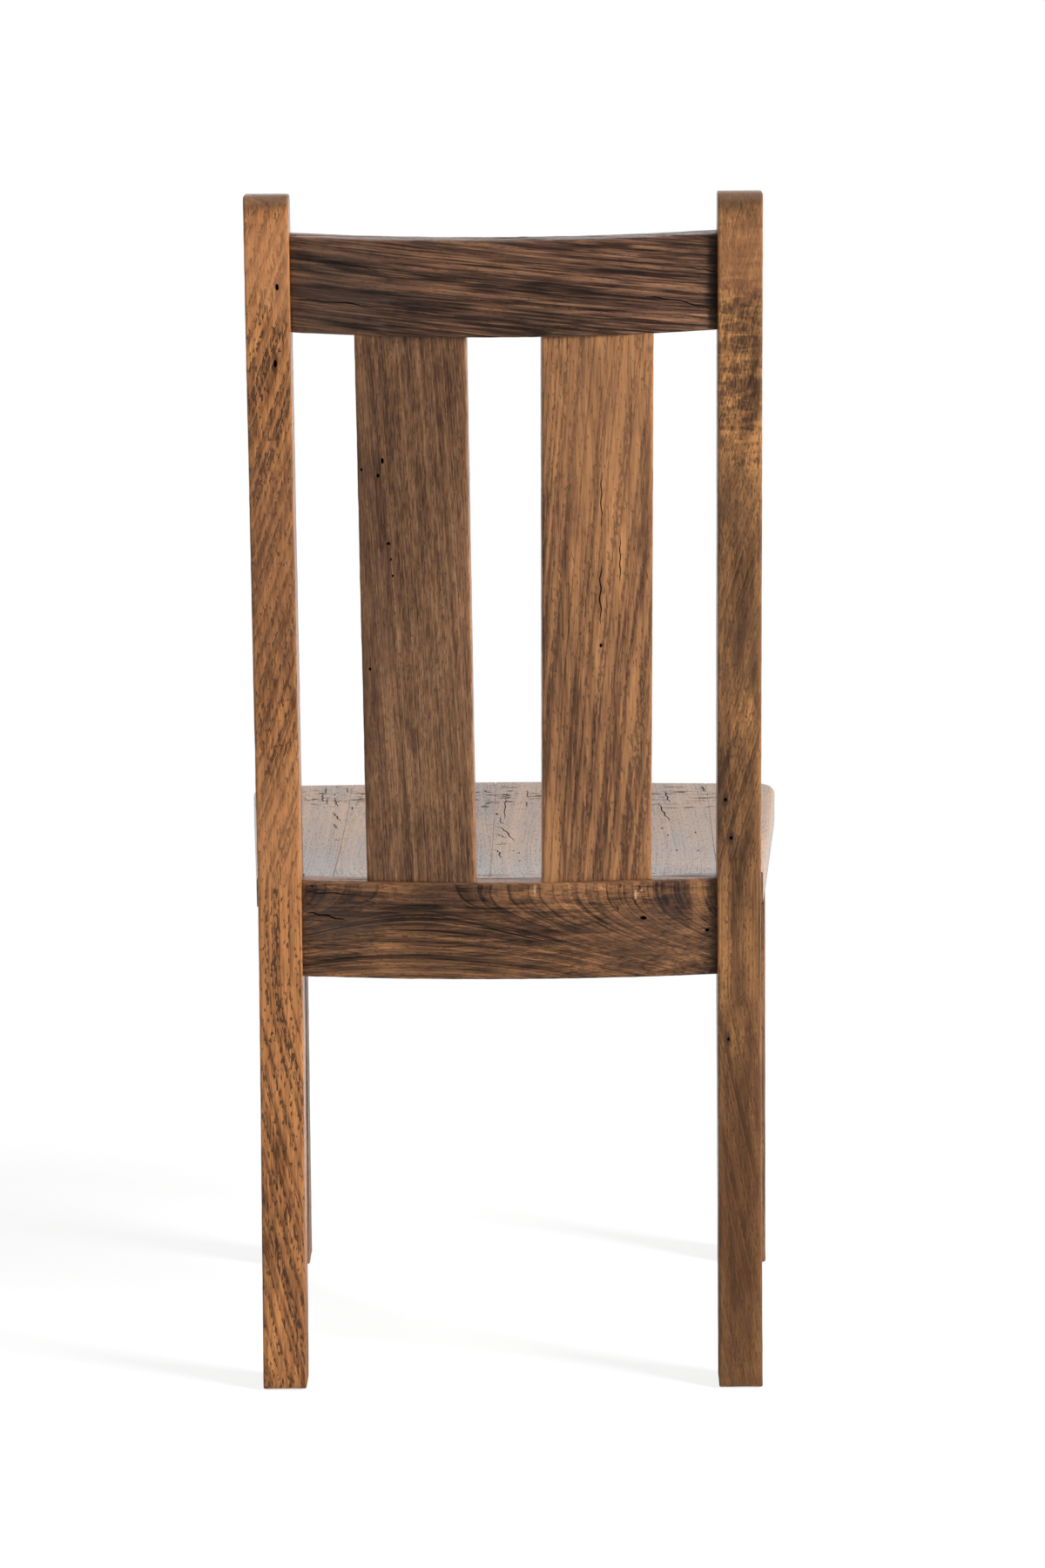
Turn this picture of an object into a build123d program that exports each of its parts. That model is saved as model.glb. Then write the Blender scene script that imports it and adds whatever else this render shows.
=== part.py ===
from build123d import *
from math import asin, cos, radians, sin, sqrt, tan
import os

# A side chair: two bent rear posts, a bowed crest rail and a bowed lower back rail, two broad
# slats between the rails, and a scooped seat of glued planks on aprons and square front legs.
# Lengths are in millimetres and angles in degrees. The sitter faces -Y, the sitter's left is +X,
# and the origin lies on the floor under the middle of the chair.

# Whole frame
chair_height = 1057
back_width = 441
front_width = 477
frame_depth = 411
arris = 2
foot_round = 4

# Rear posts: plumb beside the seat, kicked back to the floor and leaning back above
post_width = 39
post_depth = 40
post_foot_depth = 36
post_top_depth = 34
post_kick = 24
lower_bend_height = 345
upper_bend_height = 455
bend_radius = 300
back_lean = 5.3
post_top_round = 11

# Crest rail
crest_height = 84
crest_thickness = 22
crest_bow = 28
crest_drop = 78
crest_recess = 7

# Lower back rail
rail_height = 87
rail_thickness = 22
rail_bow = 15
rail_bottom = 365.5
rail_recess = 6

# Back slats, a little closer together at the seat than at the crest
slat_width = 96.5
slat_thickness = 14
slat_spread_top = 158.5
slat_spread_foot = 152.5

# Front legs
leg_width = 40

# Aprons
apron_height = 67
apron_thickness = 22
apron_setback = 5

# Mortise and tenon joints
tenon_thickness = 9
tenon_shoulder = 11
rail_tenon_length = 20
apron_tenon_length = 15
slat_tenon_thickness = 8
slat_tenon_shoulder = 8
slat_tenon_length = 14
joint_clearance = 0.15
mortise_spare = 1

# Seat
seat_bottom = 421
seat_thickness = 39
seat_overhang = 26
seat_side_overhang = 12
seat_rear_overhang = 3
seat_corner_radius = 20
seat_top_round = 8
seat_bottom_arris = 2
scoop_depth = 15
seat_gap = 0.3
glue_line = 0.1

# Where the planks meet, as shares of half the seat's front width
plank_joint_shares = (0.62, 0.35, 0.07, -0.31, -0.733)

# The scooped surface, which rises at the rear to the top of the lower back rail: stations from
# the front edge to the rear as shares of the seat's depth, and for each station the control
# points of a curve from the middle to the side, as shares of the scoop's depth. The first point
# lifts the ridge between the two hollows.
station_shares = (0, 0.3, 0.62)
control_shares = (
    (-0.35, 0.25, 0.20, 0.25),
    (0, 0.90, 0.62, 0.32),
    (0.80, 1.17, 0.85, 0.46),
)

# Corner blocks under the seat, measured from the leg or post and from the rail behind them
block_height = 30
block_reach = 60
block_depth = 72
block_flat = 12
block_notch_gap = 1
block_screw_inset = 13
seat_screw_inset = 35
seat_screw_depth = 18

# Wood screws
screw_radius = 2.2
screw_head_radius = 4.4
screw_head_height = 2.5
screw_point = 5
screw_grip = 12
screw_bite = 12
screw_clearance = 0.2

# One overrun for every cut that runs out of its piece
overrun = 5

# Planes of the frame, measured forwards from the back of the rear feet
half_back = back_width / 2
half_front = front_width / 2
half_gap = half_back - post_width
leg_inner = half_front - leg_width
rise = chair_height - upper_bend_height
lean_run = tan(radians(back_lean))
crest_middle_height = chair_height - crest_drop
crest_offset = (crest_middle_height - upper_bend_height) * lean_run - post_kick
crest_reach = (
    crest_offset
    + (crest_height / 2 - arris) * sin(radians(back_lean))
    + (crest_bow - crest_recess) * cos(radians(back_lean))
)
seat_front = frame_depth + seat_overhang
rear_y = (seat_front - crest_reach) / 2

post_back_y = rear_y - post_kick
post_front_y = post_back_y - post_depth
leg_front_y = rear_y - frame_depth
leg_back_y = leg_front_y + leg_width
seat_front_y = rear_y - seat_front
rail_top = rail_bottom + rail_height
seat_top = seat_bottom + seat_thickness
seat_front_width = front_width + 2 * seat_side_overhang
seat_rear_width = back_width + 2 * seat_rear_overhang
apron_bottom = seat_bottom - apron_height
front_apron_inner_y = leg_front_y + apron_setback + apron_thickness
block_bottom = seat_bottom - block_height


# A bowed rail in plan: the radius of its rear face from its bow over the gap between the posts
def bow_radius(bow):
    return (half_gap**2 + bow**2) / (2 * bow)


# Distance of a bowed face behind the line that its ends lie on
def bow_depth(radius, bow, x):
    return bow - radius + sqrt(radius**2 - x**2)


crest_radius = bow_radius(crest_bow)
rail_radius = bow_radius(rail_bow)
crest_middle_radius = crest_radius - crest_thickness / 2
rail_middle_radius = rail_radius - rail_thickness / 2
rail_front_radius = rail_radius - rail_thickness

# Planes of the two rails: +Y is their rear side, and Z follows the lean of the posts
crest_plane = Plane(
    origin=(0, rear_y + crest_offset, crest_middle_height),
    x_dir=(1, 0, 0),
    z_dir=(0, sin(radians(back_lean)), cos(radians(back_lean))),
)
rail_plane = Plane(origin=(0, post_back_y, rail_bottom + rail_height / 2))
rail_centre_y = post_back_y - rail_recess + rail_bow - rail_radius

sides = {"left": 1, "right": -1}


# Plan of a bowed rail between the posts
def bowed_plan(radius, bow, recess, thickness):
    centre = (0, bow - recess - radius)
    with Locations(centre):
        Circle(radius)
        Circle(radius - thickness, mode=Mode.SUBTRACT)
    with Locations((0, bow)):
        Rectangle(2 * half_gap, 2 * (bow + recess + thickness), mode=Mode.INTERSECT)


# Where the middle of a bowed rail's thickness meets the post, on the rail's own plane
def tenon_place(radius, bow, recess, thickness):
    return bow_depth(radius - thickness / 2, bow - thickness / 2, half_gap) - recess


crest_tenon_y = tenon_place(crest_radius, crest_bow, crest_recess, crest_thickness)
rail_tenon_y = tenon_place(rail_radius, rail_bow, rail_recess, rail_thickness)


# Tenon, or with a clearance the mortise for it, at one end of a bowed rail
def rail_tenon(plane, side, place_y, height, clearance=0, spare=0):
    length = rail_tenon_length + spare
    with BuildSketch(plane) as outline:
        with Locations((side * (half_gap + length / 2), place_y)):
            Rectangle(length, tenon_thickness + 2 * clearance)
    extrude(
        outline.sketch,
        amount=height / 2 - tenon_shoulder + clearance,
        both=True,
        mode=Mode.SUBTRACT if clearance else Mode.ADD,
    )


# Line of the side apron in plan: x of its outer and inner face at a place y
apron_outer_rear = half_back - apron_setback
apron_outer_front = half_front - apron_setback
apron_run = (apron_outer_front - apron_outer_rear) / (post_front_y - leg_back_y)
apron_wide = apron_thickness * sqrt(1 + apron_run**2)


def apron_outer_x(y):
    return apron_outer_rear + (post_front_y - y) * apron_run


def apron_inner_x(y):
    return apron_outer_x(y) - apron_wide


# Tenon of an apron, or with a clearance its mortise: runs from a face along X or Y
def apron_tenon(x, y, length_x, length_y, clearance=0):
    wide_x = length_x if length_x else tenon_thickness + 2 * clearance
    wide_y = length_y if length_y else tenon_thickness + 2 * clearance
    with BuildSketch(Plane.XY.offset(apron_bottom + tenon_shoulder - clearance)) as outline:
        with Locations((x, y)):
            Rectangle(wide_x, wide_y)
    extrude(
        outline.sketch,
        amount=apron_height - 2 * tenon_shoulder + 2 * clearance,
        mode=Mode.SUBTRACT if clearance else Mode.ADD,
    )


# Slat between the rails: a plane whose Z runs up the slat and whose X lies along the bow
def slat_ends(side):
    foot_x = side * slat_spread_foot / 2
    top_x = side * slat_spread_top / 2
    foot_y = bow_depth(rail_middle_radius, rail_bow - rail_thickness / 2, foot_x) - rail_recess
    top_y = bow_depth(crest_middle_radius, crest_bow - crest_thickness / 2, top_x) - crest_recess
    foot = rail_plane.from_local_coords((foot_x, foot_y, rail_height / 2))
    top = crest_plane.from_local_coords((top_x, top_y, -crest_height / 2))
    return foot, top


def slat_plane(side):
    foot, top = slat_ends(side)
    turn = (asin(foot.X / rail_middle_radius) + asin(top.X / crest_middle_radius)) / 2
    return Plane(origin=foot, x_dir=(cos(turn), -sin(turn), 0), z_dir=top - foot)


def slat_length(side):
    foot, top = slat_ends(side)
    return (top - foot).length


# Mortise for a slat's tenon, from one height along the slat to another
def slat_mortise(side, start, end):
    with BuildSketch(slat_plane(side).offset(start)) as outline:
        Rectangle(
            slat_width - 2 * slat_tenon_shoulder + 2 * joint_clearance,
            slat_tenon_thickness + 2 * joint_clearance,
        )
    extrude(outline.sketch, amount=end - start, mode=Mode.SUBTRACT)


# Corners of the seat frame: which way the room under the seat lies, the inner side of the
# upright, and the face of the apron or rail that its block stands against
inwards = {"front": 1, "rear": -1}
upright_inner = {"front": leg_inner, "rear": half_gap}


def wall_y(end, x):
    if end == "front":
        return front_apron_inner_y
    return rail_centre_y + sqrt(rail_front_radius**2 - x**2)


def block_near_x(end):
    return upright_inner[end] - block_reach


def block_far_y(end):
    return wall_y(end, block_near_x(end)) + inwards[end] * block_depth


# Planes of the screws: the origin is where the screw leaves the block for the piece that it
# bites into, and Z points from that piece back to the screw's head
def block_screw_planes(side, end):
    height = block_bottom + block_height / 2
    x = block_near_x(end) + block_screw_inset
    into_wall = Plane(
        origin=(side * x, wall_y(end, x), height), x_dir=(1, 0, 0), z_dir=(0, inwards[end], 0)
    )
    y = block_far_y(end) - inwards[end] * block_screw_inset
    into_apron = Plane(
        origin=(side * apron_inner_x(y), y, height),
        x_dir=(0, 0, 1),
        z_dir=(-side, -apron_run, 0),
    )
    return into_wall, into_apron


def seat_screw_plane(side, end):
    x = upright_inner[end] - seat_screw_inset
    y = wall_y(end, x) + inwards[end] * seat_screw_depth
    return Plane(origin=(side * x, y, seat_bottom), x_dir=(1, 0, 0), z_dir=(0, 0, -1))


# Round hole about a screw's axis, from one distance along it to another
def screw_hole(plane, radius, start, end):
    with BuildSketch(plane.offset(start)) as outline:
        Circle(radius)
    extrude(outline.sketch, amount=end - start, mode=Mode.SUBTRACT)


# Pilot hole in the piece that the screw bites into
def pilot_hole(plane):
    screw_hole(plane, screw_radius + screw_clearance, -screw_bite - mortise_spare, overrun)


# Wood screw, turned about its axis, whose head bears on wood of the thickness that it grips
def turn_screw(plane, grip):
    profile_plane = Plane(origin=plane.origin, x_dir=plane.x_dir, z_dir=-plane.y_dir)
    with BuildSketch(profile_plane) as profile:
        with BuildLine():
            Polyline(
                (0, -screw_bite),
                (screw_radius, screw_point - screw_bite),
                (screw_radius, grip),
                (screw_head_radius, grip),
                (screw_head_radius, grip + screw_head_height),
                (0, grip + screw_head_height),
                close=True,
            )
        make_face()
    revolve(profile.sketch, axis=Axis(plane.origin, plane.z_dir))


os.makedirs("parts", exist_ok=True)


def save(piece, name):
    piece.part.label = name
    export_step(piece.part, f"parts/{name}.step")


# Rear posts: the side profile has the bends and the round top, and the arrises are eased
for name, side in sides.items():
    top_back_y = post_back_y + rise * lean_run
    with BuildPart() as rear_post:
        inner_face = Plane.YZ.offset(side * (half_back - post_width / 2) - post_width / 2)
        with BuildSketch(inner_face) as profile:
            with BuildLine():
                Polyline(
                    (rear_y, 0),
                    (post_back_y, lower_bend_height),
                    (post_back_y, upper_bend_height),
                    (top_back_y, chair_height),
                    (top_back_y - post_top_depth, chair_height),
                    (post_front_y, upper_bend_height),
                    (post_front_y, lower_bend_height),
                    (rear_y - post_foot_depth, 0),
                    close=True,
                )
            make_face()
            bends = profile.vertices().group_by(Axis.Y)[1:-1]
            fillet([corner for level in bends for corner in level], bend_radius)
            fillet(profile.vertices().group_by(Axis.Y)[0], foot_round)
            fillet(profile.vertices().group_by(Axis.Y)[-1], post_top_round)
        extrude(amount=post_width)
        outlines = rear_post.faces().filter_by(Axis.X).edges()
        chamfer(outlines, arris)
        rail_tenon(crest_plane, side, crest_tenon_y, crest_height, joint_clearance, mortise_spare)
        rail_tenon(rail_plane, side, rail_tenon_y, rail_height, joint_clearance, mortise_spare)
        deep = apron_tenon_length + mortise_spare
        tenon_x = side * (apron_outer_rear - apron_wide / 2)
        apron_tenon(tenon_x, post_front_y + (deep - overrun) / 2, 0, deep + overrun, joint_clearance)
    save(rear_post, f"rear_post_{name}")

# Crest rail
with BuildPart() as crest_rail:
    with BuildSketch(crest_plane):
        bowed_plan(crest_radius, crest_bow, crest_recess, crest_thickness)
    extrude(amount=crest_height / 2, both=True)
    chamfer(crest_rail.edges().filter_by(GeomType.CIRCLE), arris)
    for side in sides.values():
        rail_tenon(crest_plane, side, crest_tenon_y, crest_height)
        start = slat_length(side)
        slat_mortise(side, start - overrun, start + slat_tenon_length + mortise_spare)
save(crest_rail, "crest_rail")

# Lower back rail
with BuildPart() as lower_back_rail:
    with BuildSketch(rail_plane):
        bowed_plan(rail_radius, rail_bow, rail_recess, rail_thickness)
    extrude(amount=rail_height / 2, both=True)
    chamfer(lower_back_rail.edges().filter_by(GeomType.CIRCLE), arris)
    for side in sides.values():
        rail_tenon(rail_plane, side, rail_tenon_y, rail_height)
        slat_mortise(side, -slat_tenon_length - mortise_spare, overrun)
        pilot_hole(block_screw_planes(side, "rear")[0])
save(lower_back_rail, "lower_back_rail")

# Back slats
for name, side in sides.items():
    plane = slat_plane(side)
    length = slat_length(side)
    with BuildPart() as back_slat:
        with BuildSketch(plane.offset(-overrun)) as outline:
            Rectangle(slat_width, slat_thickness)
            chamfer(outline.vertices(), arris)
        extrude(amount=length + 2 * overrun)
        split(bisect_by=Plane.XY.offset(rail_top), keep=Keep.TOP)
        split(bisect_by=crest_plane.offset(-crest_height / 2), keep=Keep.BOTTOM)
        with BuildSketch(plane.offset(-slat_tenon_length)):
            Rectangle(slat_width - 2 * slat_tenon_shoulder, slat_tenon_thickness)
        extrude(amount=length + 2 * slat_tenon_length)
    save(back_slat, f"back_slat_{name}")

# Front legs
for name, side in sides.items():
    leg_x = side * (half_front - leg_width / 2)
    with BuildPart() as front_leg:
        with BuildSketch(Plane.XY) as outline:
            with Locations((leg_x, leg_front_y + leg_width / 2)):
                Rectangle(leg_width, leg_width)
            chamfer(outline.vertices(), arris)
        extrude(amount=seat_bottom)
        chamfer(front_leg.faces().sort_by(Axis.Z)[0].edges(), arris)
        deep = apron_tenon_length + mortise_spare
        tenon_x = side * (apron_outer_front - apron_wide / 2)
        apron_tenon(tenon_x, leg_back_y + (overrun - deep) / 2, 0, deep + overrun, joint_clearance)
        tenon_x = side * (leg_inner + (deep - overrun) / 2)
        tenon_y = front_apron_inner_y - apron_thickness / 2
        apron_tenon(tenon_x, tenon_y, deep + overrun, 0, joint_clearance)
    save(front_leg, f"front_leg_{name}")

# Front apron
with BuildPart() as front_apron:
    with BuildSketch(Plane.XY.offset(apron_bottom)):
        with Locations((0, front_apron_inner_y - apron_thickness / 2)):
            Rectangle(2 * leg_inner, apron_thickness)
    extrude(amount=apron_height)
    chamfer(front_apron.edges().filter_by(Axis.X).group_by(Axis.Z)[0], arris)
    reach = 2 * (leg_inner + apron_tenon_length)
    apron_tenon(0, front_apron_inner_y - apron_thickness / 2, reach, 0)
    for side in sides.values():
        pilot_hole(block_screw_planes(side, "front")[0])
save(front_apron, "front_apron")

# Side aprons, which splay from the posts to the wider set front legs
for name, side in sides.items():
    with BuildPart() as side_apron:
        with BuildSketch(Plane.XY.offset(apron_bottom)):
            with BuildLine():
                Polyline(
                    (side * apron_outer_x(leg_back_y), leg_back_y),
                    (side * apron_outer_x(post_front_y), post_front_y),
                    (side * apron_inner_x(post_front_y), post_front_y),
                    (side * apron_inner_x(leg_back_y), leg_back_y),
                    close=True,
                )
            make_face()
        extrude(amount=apron_height)
        lower_edges = side_apron.edges().group_by(Axis.Z)[0]
        chamfer(lower_edges.sort_by(SortBy.LENGTH)[-2:], arris)
        tenon_x = side * (apron_outer_front - apron_wide / 2)
        apron_tenon(tenon_x, leg_back_y - apron_tenon_length / 2, 0, apron_tenon_length)
        tenon_x = side * (apron_outer_rear - apron_wide / 2)
        apron_tenon(tenon_x, post_front_y + apron_tenon_length / 2, 0, apron_tenon_length)
        for end in ("front", "rear"):
            pilot_hole(block_screw_planes(side, end)[1])
    save(side_apron, f"side_apron_{name}")

# Corner blocks, notched round the leg or post, with bores for two block screws and a seat screw
uprights = {
    "front": (leg_inner, leg_back_y, leg_width, leg_width),
    "rear": (half_gap, post_front_y, post_width, post_depth),
}
for end, (inner_x, inner_y, wide, deep) in uprights.items():
    near_x, far_y = block_near_x(end), block_far_y(end)
    near_y = wall_y(end, near_x) + inwards[end] * block_flat
    back_y = front_apron_inner_y if end == "front" else post_back_y
    for name, side in sides.items():
        with BuildPart() as corner_block:
            with BuildSketch(Plane.XY.offset(block_bottom)):
                with BuildLine():
                    Polyline(
                        (side * apron_inner_x(back_y), back_y),
                        (side * near_x, back_y),
                        (side * near_x, near_y),
                        (side * (apron_inner_x(far_y) - block_flat), far_y),
                        (side * apron_inner_x(far_y), far_y),
                        close=True,
                    )
                make_face()
                with Locations((side * (inner_x + wide / 2), inner_y - inwards[end] * deep / 2)):
                    Rectangle(
                        wide + 2 * block_notch_gap,
                        deep + 2 * block_notch_gap,
                        mode=Mode.SUBTRACT,
                    )
                if end == "rear":
                    with Locations((0, rail_centre_y)):
                        Circle(rail_front_radius - seat_gap, mode=Mode.INTERSECT)
            extrude(amount=block_height)
            for plane in (*block_screw_planes(side, end), seat_screw_plane(side, end)):
                screw_hole(plane, screw_radius + screw_clearance, -overrun, block_depth)
            for plane in block_screw_planes(side, end):
                screw_hole(plane, screw_head_radius + screw_clearance, screw_grip, block_depth)
        save(corner_block, f"corner_block_{end}_{name}")

# Screws
with BuildPart() as block_screws:
    for end in inwards:
        for side in sides.values():
            for plane in block_screw_planes(side, end):
                turn_screw(plane, screw_grip)
save(block_screws, "block_screws")

with BuildPart() as seat_screws:
    for end in inwards:
        for side in sides.values():
            turn_screw(seat_screw_plane(side, end), block_height)
save(seat_screws, "seat_screws")

# Seat: the glued blank, notched round the posts and fitted to the bowed rail
seat_rear_y = rail_centre_y + rail_front_radius - seat_gap
seat_depth = seat_rear_y - seat_front_y
side_run = (seat_front_width - seat_rear_width) / 2 / (post_front_y - seat_front_y)
half_rear = seat_front_width / 2 - side_run * seat_depth
scoop_half_width = max(seat_front_width / 2, half_rear)


# Section of the space above the scooped surface, at one place from front to rear, whose curve
# has its control points at even steps from side to side
def scoop_section(y, depths):
    step = scoop_half_width / (len(depths) - 1)
    right_half = [(place * step, seat_top - depth) for place, depth in enumerate(depths)]
    left_half = [(-x, z) for x, z in reversed(right_half[1:])]
    plane = Plane(origin=(0, y, 0), x_dir=(1, 0, 0), z_dir=(0, -1, 0))
    with BuildSketch(plane) as section:
        with BuildLine():
            surface = Bezier(*left_half, *right_half)
            above = seat_top + scoop_depth
            Polyline(
                surface @ 1,
                (scoop_half_width, above),
                (-scoop_half_width, above),
                surface @ 0,
            )
        make_face()
    return section.sketch


with BuildPart() as scoop:
    stations = []
    for share, depth_shares in zip(station_shares, control_shares):
        depths = [depth_share * scoop_depth for depth_share in depth_shares]
        stations.append((seat_front_y - overrun + share * seat_depth, depths))
    rear_depths = [seat_top - rail_top] * len(control_shares[0])
    stations.append((seat_rear_y + overrun, rear_depths))
    loft([scoop_section(y, depths) for y, depths in stations])

with BuildPart() as seat:
    with BuildSketch(Plane.XY.offset(seat_bottom)) as outline:
        with BuildLine():
            Polyline(
                (-seat_front_width / 2, seat_front_y),
                (seat_front_width / 2, seat_front_y),
                (half_rear, seat_rear_y),
                (-half_rear, seat_rear_y),
                close=True,
            )
        make_face()
        fillet(outline.vertices().group_by(Axis.Y)[0], seat_corner_radius)
        for side in sides.values():
            notch_x = side * (half_gap - seat_gap + seat_front_width / 2)
            with Locations((notch_x, post_front_y - seat_gap + post_depth)):
                Rectangle(seat_front_width, 2 * post_depth, mode=Mode.SUBTRACT)
        with Locations((0, rail_centre_y)):
            Circle(rail_front_radius - seat_gap, mode=Mode.INTERSECT)
    extrude(amount=seat_thickness)
    add(scoop.part, mode=Mode.SUBTRACT)
    worn_edges = seat.faces().filter_by(GeomType.BSPLINE).edges().sort_by(Axis.Y)[:5]
    fillet(worn_edges, seat_top_round)
    lower_edges = seat.faces().sort_by(Axis.Z)[0].edges().sort_by(Axis.Y)[:5]
    chamfer(lower_edges, seat_bottom_arris)
    for end in inwards:
        for side in sides.values():
            pilot_hole(seat_screw_plane(side, end))

# Seat planks, cut from the blank at the glue lines, from the sitter's left to the right
joints = [share * seat_front_width / 2 for share in plank_joint_shares]
for number in range(len(joints) + 1):
    with BuildPart() as seat_plank:
        add(seat.part)
        if number > 0:
            left = Plane.YZ.offset(joints[number - 1] - glue_line / 2)
            split(bisect_by=left, keep=Keep.BOTTOM)
        if number < len(joints):
            right = Plane.YZ.offset(joints[number] + glue_line / 2)
            split(bisect_by=right, keep=Keep.TOP)
    save(seat_plank, f"seat_plank_{number + 1}")
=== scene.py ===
# %% [markdown]
# # A bent-post side chair in worn, mismatched wood
#
# The chair has two rear posts that lean back above the seat and kick back to the floor, a bowed
# crest rail, two broad slats, a bowed lower rail and a scooped plank seat. This lesson dresses the
# imported model: it lights a plain studio, mixes the wood finishes, and models each board again
# with eased arrises, wear, nail holes and drying cracks.
#
# The imported model is a fixed frame. It is loaded first, and its parts' boxes give the boards their
# sizes.

from math import cos, radians, sin, sqrt, tan

import bpy
from mathutils import Matrix, Vector


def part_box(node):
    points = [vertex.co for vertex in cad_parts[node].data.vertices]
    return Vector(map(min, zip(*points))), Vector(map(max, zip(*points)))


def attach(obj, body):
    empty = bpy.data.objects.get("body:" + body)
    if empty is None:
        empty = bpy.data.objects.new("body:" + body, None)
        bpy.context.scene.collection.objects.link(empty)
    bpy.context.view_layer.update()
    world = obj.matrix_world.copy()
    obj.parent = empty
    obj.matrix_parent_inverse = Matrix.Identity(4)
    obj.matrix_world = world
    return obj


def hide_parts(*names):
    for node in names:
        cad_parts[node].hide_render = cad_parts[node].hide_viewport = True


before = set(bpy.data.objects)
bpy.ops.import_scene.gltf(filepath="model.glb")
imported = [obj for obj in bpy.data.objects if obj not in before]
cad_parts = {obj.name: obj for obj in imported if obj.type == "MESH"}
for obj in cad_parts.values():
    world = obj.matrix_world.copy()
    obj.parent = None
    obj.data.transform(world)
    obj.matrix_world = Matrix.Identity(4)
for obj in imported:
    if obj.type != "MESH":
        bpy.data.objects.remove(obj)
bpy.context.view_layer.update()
scene = bpy.context.scene
print("nodes:", len(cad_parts))

# %% [markdown]
# ## Camera
#
# The photograph looks at the chair's back from a little above its top, with a long lens. The
# frame is 1200 by 1800 pixels, so the sensor is measured on its height. The shift keeps the
# posts upright while the chair stays in the middle of the frame.

# %% Set up the camera
camera_data = bpy.data.cameras.new("studio camera")
camera = bpy.data.objects.new("studio camera", camera_data)
scene.collection.objects.link(camera)
scene.camera = camera
camera.location = (-0.0553, 4.209, 1.3505)
camera.rotation_euler = (radians(82.43), radians(0.44), radians(180.521))
camera_data.sensor_fit = "VERTICAL"
camera_data.sensor_height = 36
camera_data.lens = 108.35
camera_data.shift_y = -0.2
print("camera stands", round(camera.location.y, 2), "m behind the chair")

# %% [markdown]
# ## Studio
#
# The photograph was taken in a white studio: a big soft window of light on the right of the
# picture, and white walls behind the chair. White walls matter, because a satin finish seen at a
# low angle mirrors them: the seat looks pale for that reason alone. The world is white where it
# is seen, dim where it is mirrored from the camera's side, and softer where it only lights.

# %% White surroundings
scene.view_settings.view_transform = "Standard"


def add_node(tree, kind, **settings):
    made = tree.nodes.new(kind)
    for name, value in settings.items():
        setattr(made, name, value)
    return made


def feed(tree, socket, source):
    """Link a socket to another node's output, or set it to a plain value."""
    if isinstance(source, bpy.types.NodeSocket):
        tree.links.new(source, socket)
    else:
        socket.default_value = source


def maths(tree, operation, *terms, clamp=False):
    made = add_node(tree, "ShaderNodeMath", operation=operation, use_clamp=clamp)
    for socket, term in zip(made.inputs, terms):
        feed(tree, socket, term)
    return made.outputs[0]


def times(tree, first, second):
    return maths(tree, "MULTIPLY", first, second)


def added_up(tree, start, *shares):
    """A start value plus each effect times its share."""
    for effect, share in shares:
        start = maths(tree, "MULTIPLY_ADD", effect, share, start)
    return start


def vector_maths(tree, operation, *terms):
    made = add_node(tree, "ShaderNodeVectorMath", operation=operation)
    for socket, term in zip(made.inputs, terms):
        feed(tree, socket, term)
    return made.outputs["Value" if operation == "LENGTH" else "Vector"]


def parts_of(tree, vector):
    made = add_node(tree, "ShaderNodeSeparateXYZ")
    feed(tree, made.inputs[0], vector)
    return made.outputs


def ramp_between(tree, value, low, high, to_low=0.0, to_high=1.0):
    """Smoothly turn a value from low to high into one from to_low to to_high."""
    made = add_node(tree, "ShaderNodeMapRange", interpolation_type="SMOOTHSTEP")
    for socket, term in zip(made.inputs[:5], (value, low, high, to_low, to_high)):
        feed(tree, socket, term)
    return made.outputs[0]


SOFT_LIGHT, DIM_WALL = 0.24, 0.1
world = bpy.data.worlds.new("white studio")
scene.world = world
world.use_nodes = True
sky = world.node_tree
sky.nodes.clear()
path = add_node(sky, "ShaderNodeLightPath").outputs
direction = parts_of(sky, add_node(sky, "ShaderNodeTexCoord").outputs["Generated"])
behind_chair = ramp_between(sky, direction["Y"], -0.2, 0.5, 1.0, DIM_WALL)
ceiling = ramp_between(sky, direction["Z"], 0.35, 0.75)
mirrored_wall = maths(sky, "MAXIMUM", behind_chair, ceiling)
mirrored = maths(sky, "MAXIMUM", path["Is Glossy Ray"], path["Is Transmission Ray"])
lit_or_mirrored = add_node(sky, "ShaderNodeMix", data_type="FLOAT")
feed(sky, lit_or_mirrored.inputs[0], mirrored)
feed(sky, lit_or_mirrored.inputs[2], SOFT_LIGHT)
feed(sky, lit_or_mirrored.inputs[3], mirrored_wall)
seen = maths(sky, "MAXIMUM", path["Is Camera Ray"], lit_or_mirrored.outputs[0])
background = add_node(sky, "ShaderNodeBackground")
feed(sky, background.inputs["Color"], (1, 1, 1, 1))
feed(sky, background.inputs["Strength"], seen)
output = add_node(sky, "ShaderNodeOutputWorld")
feed(sky, output.inputs[0], background.outputs[0])
print("world light", SOFT_LIGHT)

# %% [markdown]
# The window is a large area light. A weaker one near the camera fills the side that the window
# leaves dark, and a third one lights the front. Large lights give the soft shadow edges of the
# photograph. The varnish mirrors the walls, but not the lamps.


# %% Window light and fill
def soft_box(name, place, size, power):
    """A square area light that looks at the middle of the chair's back."""
    light = bpy.data.lights.new(name, "AREA")
    light.shape = "SQUARE"
    light.size = size
    light.energy = power
    lamp = bpy.data.objects.new(name, light)
    lamp.location = place
    aim = Vector((0, 0.1, 0.6)) - lamp.location
    lamp.rotation_euler = aim.to_track_quat("-Z", "Y").to_euler()
    lamp.visible_glossy = False
    scene.collection.objects.link(lamp)
    return lamp


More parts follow.
